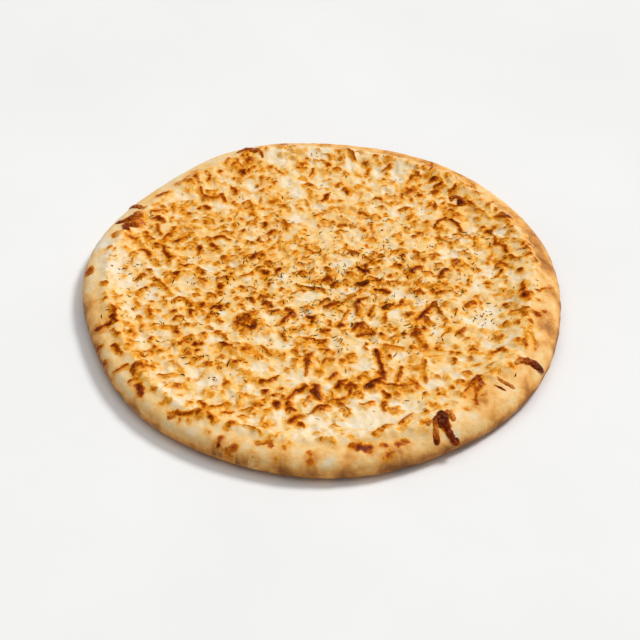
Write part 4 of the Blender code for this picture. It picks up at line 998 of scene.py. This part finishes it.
def makeDough():
    angles = np.linspace(-np.pi, np.pi, dough["segments"], endpoint=False)
    edge, rim = cheeseEdge(angles), outline(angles)
    rings = [((edge - 5) * t, None) for t in np.linspace(0, 1, 6)[1:]]
    rings += [(edge - 5 + (rim - edge + 5) * (1 - (1 - t) ** 2), None) for t in np.linspace(0, 1, 34)[1:]]
    rings += [(rim - dough["footRoll"] * (1 - np.cos(turn)), dough["sideHeight"] * (1 - np.sin(turn)))
              for turn in np.linspace(0, np.pi / 2, 16)[1:]]
    rings += [((rim - dough["footRoll"]) * t, 0.0) for t in (0.75, 0.5, 0.25)]
    points, low = [np.array([[0, 0, 12.0]])], [np.zeros(1)]
    for r, z in rings:
        x, y = r * np.cos(angles), r * np.sin(angles)
        if z is None:
            z = doughTop(x, y)
            wave = skinWave(x, y, 0)
            upward = np.clip((rim - r) / 3, 0, 1)
            z = z + wave * upward - 0.6 * (r < edge - 1.5)
            push = wave * (1 - upward)
        else:
            push = skinWave(x, y, dough["sideHeight"] - z) * min(1, z / 3)
            z = np.full_like(x, z)
        points.append(np.stack([x + push * np.cos(angles), y + push * np.sin(angles), z], -1))
        low.append(smoothStep((9.5 - z) / 4))
    count = len(angles)
    first = 1 + np.arange(count)
    faces = [[0, int(a), int(b)] for a, b in zip(first, np.roll(first, -1))]
    for k in range(len(rings) - 1):
        upper, lower = first + k * count, first + (k + 1) * count
        faces += np.stack([upper, lower, np.roll(lower, -1), np.roll(upper, -1)], -1).tolist()
    faces.append((first + (len(rings) - 1) * count)[::-1].tolist())
    points = np.concatenate(points)
    x, y, low = points[:, 0], points[:, 1], np.concatenate(low)
    bake = bakeLevel(x, y) + 0.45 * sampled(gold, x, y) * (1 - low)
    values = browningAt(x, y, np.full(len(x), -0.4), bake)
    values["toast"] = values["toast"] * (1 - low)
    return meshObject("doughDisc", points, faces, makeCrust(), values)


doughDisc = makeDough()
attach(doughDisc, "root")
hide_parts("bread")
print("dough", len(doughDisc.data.polygons))


def makeMozzarella():
    m = mozzarella
    material, tree = newMaterial("meltedMozzarella")
    place = addNode(tree, "ShaderNodeTexCoord").outputs["Object"]
    colour, speckle, marble, toasted = meltedSkin(tree, place)
    gloss = addNode(tree, "ShaderNodeMapRange", None, {"To Min": m["roughPool"], "To Max": m["roughToast"]},
                    {"Value": toasted})
    bumpFine = addNode(tree, "ShaderNodeBump", None, {"Strength": 0.35, "Distance": 0.0005},
                       {"Height": speckle})
    bump = addNode(tree, "ShaderNodeBump", None, {"Strength": 0.5, "Distance": 0.0012},
                   {"Height": marble, "Normal": bumpFine.outputs["Normal"]})
    shader = addNode(tree, "ShaderNodeBsdfPrincipled", None,
                     {"IOR": m["ior"], "Specular IOR Level": m["specular"],
                      "Specular Tint": hexToLinear(m["sheenTint"]), "Subsurface Weight": 0.1,
                      "Subsurface Scale": 0.003, "Subsurface Radius": (1.0, 0.6, 0.3)},
                     {"Base Color": colour, "Roughness": gloss.outputs[0], "Normal": bump.outputs["Normal"]})
    addNode(tree, "ShaderNodeOutputMaterial", None, None, {"Surface": shader.outputs[0]})
    return material


def makeCheese():
    x, y = discGrid(cheese["cells"], cheeseEdge)
    n = cheese["cells"] + 1
    index = np.arange(n * n).reshape(n, n)
    quads = np.stack([index[:-1, :-1], index[1:, :-1], index[1:, 1:], index[:-1, 1:]], -1).reshape(-1, 4)
    ring = np.concatenate([index[-1, :-1], index[::-1, -1][:-1], index[0, ::-1][:-1], index[:-1, 0]])
    top = np.stack([x, y, cheeseTop(x, y)], -1).reshape(-1, 3)
    # the edge thins out and slips just under the dough's skin
    hem = top[ring].copy()
    reach = np.hypot(hem[:, 0], hem[:, 1])
    hem[:, :2] *= ((reach + 1.5) / reach)[:, None]
    hem[:, 2] = doughSkin(hem[:, 0], hem[:, 1]) - 0.25
    below = n * n + np.arange(len(ring))
    quads = quads.tolist() + np.stack([ring, below, np.roll(below, -1), np.roll(ring, -1)], -1).tolist()
    points = np.concatenate([top, hem])
    px, py = points[:, 0], points[:, 1]
    inward = cheeseEdge(np.arctan2(py, px)) - np.hypot(px, py)
    bake = bakeLevel(px, py) + 0.3 * sampled(gold, px, py)
    values = browningAt(px, py, np.clip(inward / 7, 0, 1), bake)
    return meshObject("meltedCheese", points, quads, makeMozzarella(), values)


cheeseSheet = makeCheese()
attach(cheeseSheet, "root")
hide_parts("cheese")
print("cheese", len(cheeseSheet.data.polygons))


def makeStrands():
    s = toastedStrands
    points, faces, darkness = [], [], []

    def layTube(route, radii, shades, kind):
        # a closed tube along the route; radii and shades are spread evenly over its length
        sides, steps = kind["sides"], len(route)
        turns = 2 * np.pi * np.arange(sides) / sides
        along = np.gradient(route, axis=0)
        across = np.stack([-along[:, 1], along[:, 0]], -1) / np.hypot(along[:, 0], along[:, 1])[:, None]
        t = np.linspace(0, 1, steps)
        r = spread(radii, steps) * np.maximum(0.12, (1 - np.abs(2 * t - 1) ** 6) ** 0.5)
        r = r * (1 + 0.22 * softNoise(route[:, 0], route[:, 1], 2.4, 81))
        # lumps on the skin of the strand
        lumps = softNoise(route[:, :1] + 2 * np.cos(turns), route[:, 1:] + 2 * np.sin(turns), 1.3, 82)
        skin = r[:, None] * (1 + 0.24 * lumps)
        foot = cheeseTop(route[:, 0], route[:, 1]) - kind["sink"] * r
        dark = spread(shades, steps)[:, None] * (0.55 + 0.35 * np.sin(turns))
        base = len(points)
        tube = np.stack([route[:, :1] + across[:, :1] * skin * np.cos(turns),
                         route[:, 1:] + across[:, 1:] * skin * np.cos(turns),
                         foot[:, None] + kind["flat"] * skin * np.sin(turns)], -1)
        points.extend(tube.reshape(-1, 3).tolist())
        darkness.extend(dark.reshape(-1).tolist())
        ring = base + np.arange(steps * sides).reshape(steps, sides)
        nextOn = np.roll(ring, -1, axis=1)
        faces.extend(np.stack([ring[:-1], nextOn[:-1], nextOn[1:], ring[1:]], -1).reshape(-1, 4).tolist())
        faces.append(ring[0][::-1].tolist())
        faces.append(ring[-1].tolist())

    for seen, radii, shades in s["seen"]:
        layTube(smoothRoute([slideOn(*point) for point in seen], s["steps"]), radii, shades, s)
    for spine, radii, shades in edges:
        layTube(untwist(smoothRoute(spine, shredEdges["steps"])), radii, shades, shredEdges)
    material, tree = newMaterial("charredStrand")
    place = addNode(tree, "ShaderNodeTexCoord").outputs["Object"]
    up = addNode(tree, "ShaderNodeAttribute", {"attribute_name": "up"}).outputs["Fac"]
    grain = addNode(tree, "ShaderNodeTexNoise", None,
                    {"Scale": 500 / s["grainMm"], "Detail": 4.0, "Roughness": 0.65}, {"Vector": place})
    shift = addNode(tree, "ShaderNodeMath", {"operation": "MULTIPLY_ADD"}, {1: 1.5, 2: -0.75},
                    {0: grain.outputs["Fac"]})
    level = addNode(tree, "ShaderNodeMath", {"operation": "ADD", "use_clamp": True}, None,
                    {0: up, 1: shift.outputs[0]})
    colour = addNode(tree, "ShaderNodeValToRGB", None, None, {"Fac": level.outputs[0]}, s["ramp"])
    bump = addNode(tree, "ShaderNodeBump", None, {"Strength": 1.0, "Distance": 0.0008},
                   {"Height": grain.outputs["Fac"]})
    shader = addNode(tree, "ShaderNodeBsdfPrincipled", None,
                     {"IOR": s["ior"], "Specular IOR Level": s["specular"],
                      "Specular Tint": hexToLinear(s["sheenTint"]), "Roughness": s["rough"]},
                     {"Base Color": colour.outputs["Color"], "Normal": bump.outputs["Normal"]})
    addNode(tree, "ShaderNodeOutputMaterial", None, None, {"Surface": shader.outputs[0]})
    return meshObject("toastedStrands", points, faces, material, {"up": darkness})


strandPiece = makeStrands()
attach(strandPiece, "root")
print("toasted strands", len(toastedStrands["seen"]), "fine edges", len(edges))


def makeHerbs():
    h = herbs
    points, faces, shade = [], [], []
    for x, y, length, width, turn, tint in flakes:
        bend = rng.uniform(-0.9, 0.9)
        base = len(points)
        lean = rng.uniform(0, 0.35)
        # four cuts along the flake, each with two edges and a low ridge between them
        for t, broad in ((-0.5, 0.35), (-0.15, 1.0), (0.2, 0.8), (0.5, 0.15)):
            way = turn + bend * t
            midX, midY = x + length * t * np.cos(way), y + length * t * np.sin(way)
            half = width * broad / 2
            lift = 0.1 + lean * max(0, t) * length
            for hand, ridge in ((-1, 0.0), (1, 0.0), (0, 0.18)):
                out = hand * half
                points.append((midX - out * np.sin(way), midY + out * np.cos(way), lift + ridge))
                shade.append(tint)
        for k in range(3):
            p = base + 3 * k
            faces += [(p, p + 3, p + 5, p + 2), (p + 2, p + 5, p + 4, p + 1), (p + 1, p + 4, p + 3, p)]
    points = np.array(points)
    points[:, 2] += cheeseTop(points[:, 0], points[:, 1])
    material, tree = newMaterial("driedOregano")
    place = addNode(tree, "ShaderNodeTexCoord").outputs["Object"]
    grain = addNode(tree, "ShaderNodeTexNoise", None, {"Scale": 500 / h["grainMm"], "Detail": 2.0},
                    {"Vector": place})
    tint = addNode(tree, "ShaderNodeAttribute", {"attribute_name": "shade"}).outputs["Fac"]
    shift = addNode(tree, "ShaderNodeMath", {"operation": "MULTIPLY_ADD"}, {1: 0.6, 2: -0.3},
                    {0: grain.outputs["Fac"]})
    level = addNode(tree, "ShaderNodeMath", {"operation": "ADD", "use_clamp": True}, None,
                    {0: tint, 1: shift.outputs[0]})
    colour = addNode(tree, "ShaderNodeValToRGB", None, None, {"Fac": level.outputs[0]}, h["ramp"])
    shader = addNode(tree, "ShaderNodeBsdfPrincipled", None,
                     {"Roughness": h["rough"], "IOR": h["ior"], "Specular IOR Level": h["specular"]},
                     {"Base Color": colour.outputs["Color"]})
    addNode(tree, "ShaderNodeOutputMaterial", None, None, {"Surface": shader.outputs[0]})
    print("herb flakes", len(flakes))
    return meshObject("herbFlakes", points, faces, material, {"shade": shade})


herbPiece = makeHerbs()
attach(herbPiece, "root")

# plain pale studio: a wide softbox overhead, a soft sun from the back right, white all round
studio = {
    "floor": [(0.3, "#f0f0ee"), (0.7, "#f5f5f4")], "floorRough": 0.7,
    "world": "#ffffff", "worldStrength": 0.25,
    "softbox": {"watts": 11.0, "size": 1.8, "place": (0.0, 0.1, 1.7)},
    "sun": {"strength": 2.05, "spread": 16, "place": (0.75, 0.55, 1.05)},
}


def aim(thing, target):
    thing.rotation_euler = (Vector(target) - Vector(thing.location)).to_track_quat("-Z", "Y").to_euler()


def makeStudio():
    s = studio
    material, tree = newMaterial("paleFloor")
    place = addNode(tree, "ShaderNodeTexCoord").outputs["Object"]
    grain = addNode(tree, "ShaderNodeTexNoise", None, {"Scale": 6.0, "Detail": 3.0}, {"Vector": place})
    tint = addNode(tree, "ShaderNodeValToRGB", None, None, {"Fac": grain.outputs["Fac"]}, s["floor"])
    shader = addNode(tree, "ShaderNodeBsdfPrincipled", None, {"Roughness": s["floorRough"]},
                     {"Base Color": tint.outputs["Color"]})
    addNode(tree, "ShaderNodeOutputMaterial", None, None, {"Surface": shader.outputs[0]})
    mesh = bpy.data.meshes.new("floor")
    mesh.from_pydata([(-6, -6, 0), (6, -6, 0), (6, 6, 0), (-6, 6, 0)], [], [(0, 1, 2, 3)])
    mesh.materials.append(material)
    floor = bpy.data.objects.new("floor", mesh)
    bpy.context.scene.collection.objects.link(floor)
    softbox = bpy.data.lights.new("softbox", "AREA")
    softbox.energy = s["softbox"]["watts"]
    softbox.size = s["softbox"]["size"]
    sun = bpy.data.lights.new("sun", "SUN")
    sun.energy = s["sun"]["strength"]
    sun.angle = math.radians(s["sun"]["spread"])
    for lamp in (softbox, sun):
        thing = bpy.data.objects.new(lamp.name, lamp)
        thing.location = s[lamp.name]["place"]
        bpy.context.scene.collection.objects.link(thing)
        aim(thing, (0, 0, 0))
    world = bpy.data.worlds.new("studioWorld")
    bpy.context.scene.world = world
    world.use_nodes = True
    background = world.node_tree.nodes["Background"]
    background.inputs["Color"].default_value = hexToLinear(s["world"])
    background.inputs["Strength"].default_value = s["worldStrength"]
    bpy.context.scene.view_settings.view_transform = "Standard"


makeStudio()

# The photo's own viewpoint, rounded from a fit to points read off the photo. Its distance was
# chosen. Degrees, metres, and millimetres for the lens.
view = {
    "elevation": 42.336, "distance": 1.2, "lens": 107.29, "roll": 0.653,
    "aim": (-0.0013, -0.0071, -0.0078),
}
lens = bpy.data.cameras.new("camera")
lens.lens = view["lens"]
lens.sensor_width = 36
lens.clip_end = 50
camera = bpy.data.objects.new("camera", lens)
bpy.context.scene.collection.objects.link(camera)
up = math.radians(view["elevation"])
shift = (partShift[0] / 1000, partShift[1] / 1000, 0)
camera.location = (shift[0], shift[1] - view["distance"] * math.cos(up), view["distance"] * math.sin(up))
aim(camera, [view["aim"][k] + shift[k] for k in range(3)])
camera.rotation_euler.rotate_axis("Z", math.radians(view["roll"]))
bpy.context.scene.camera = camera
print("studio set")
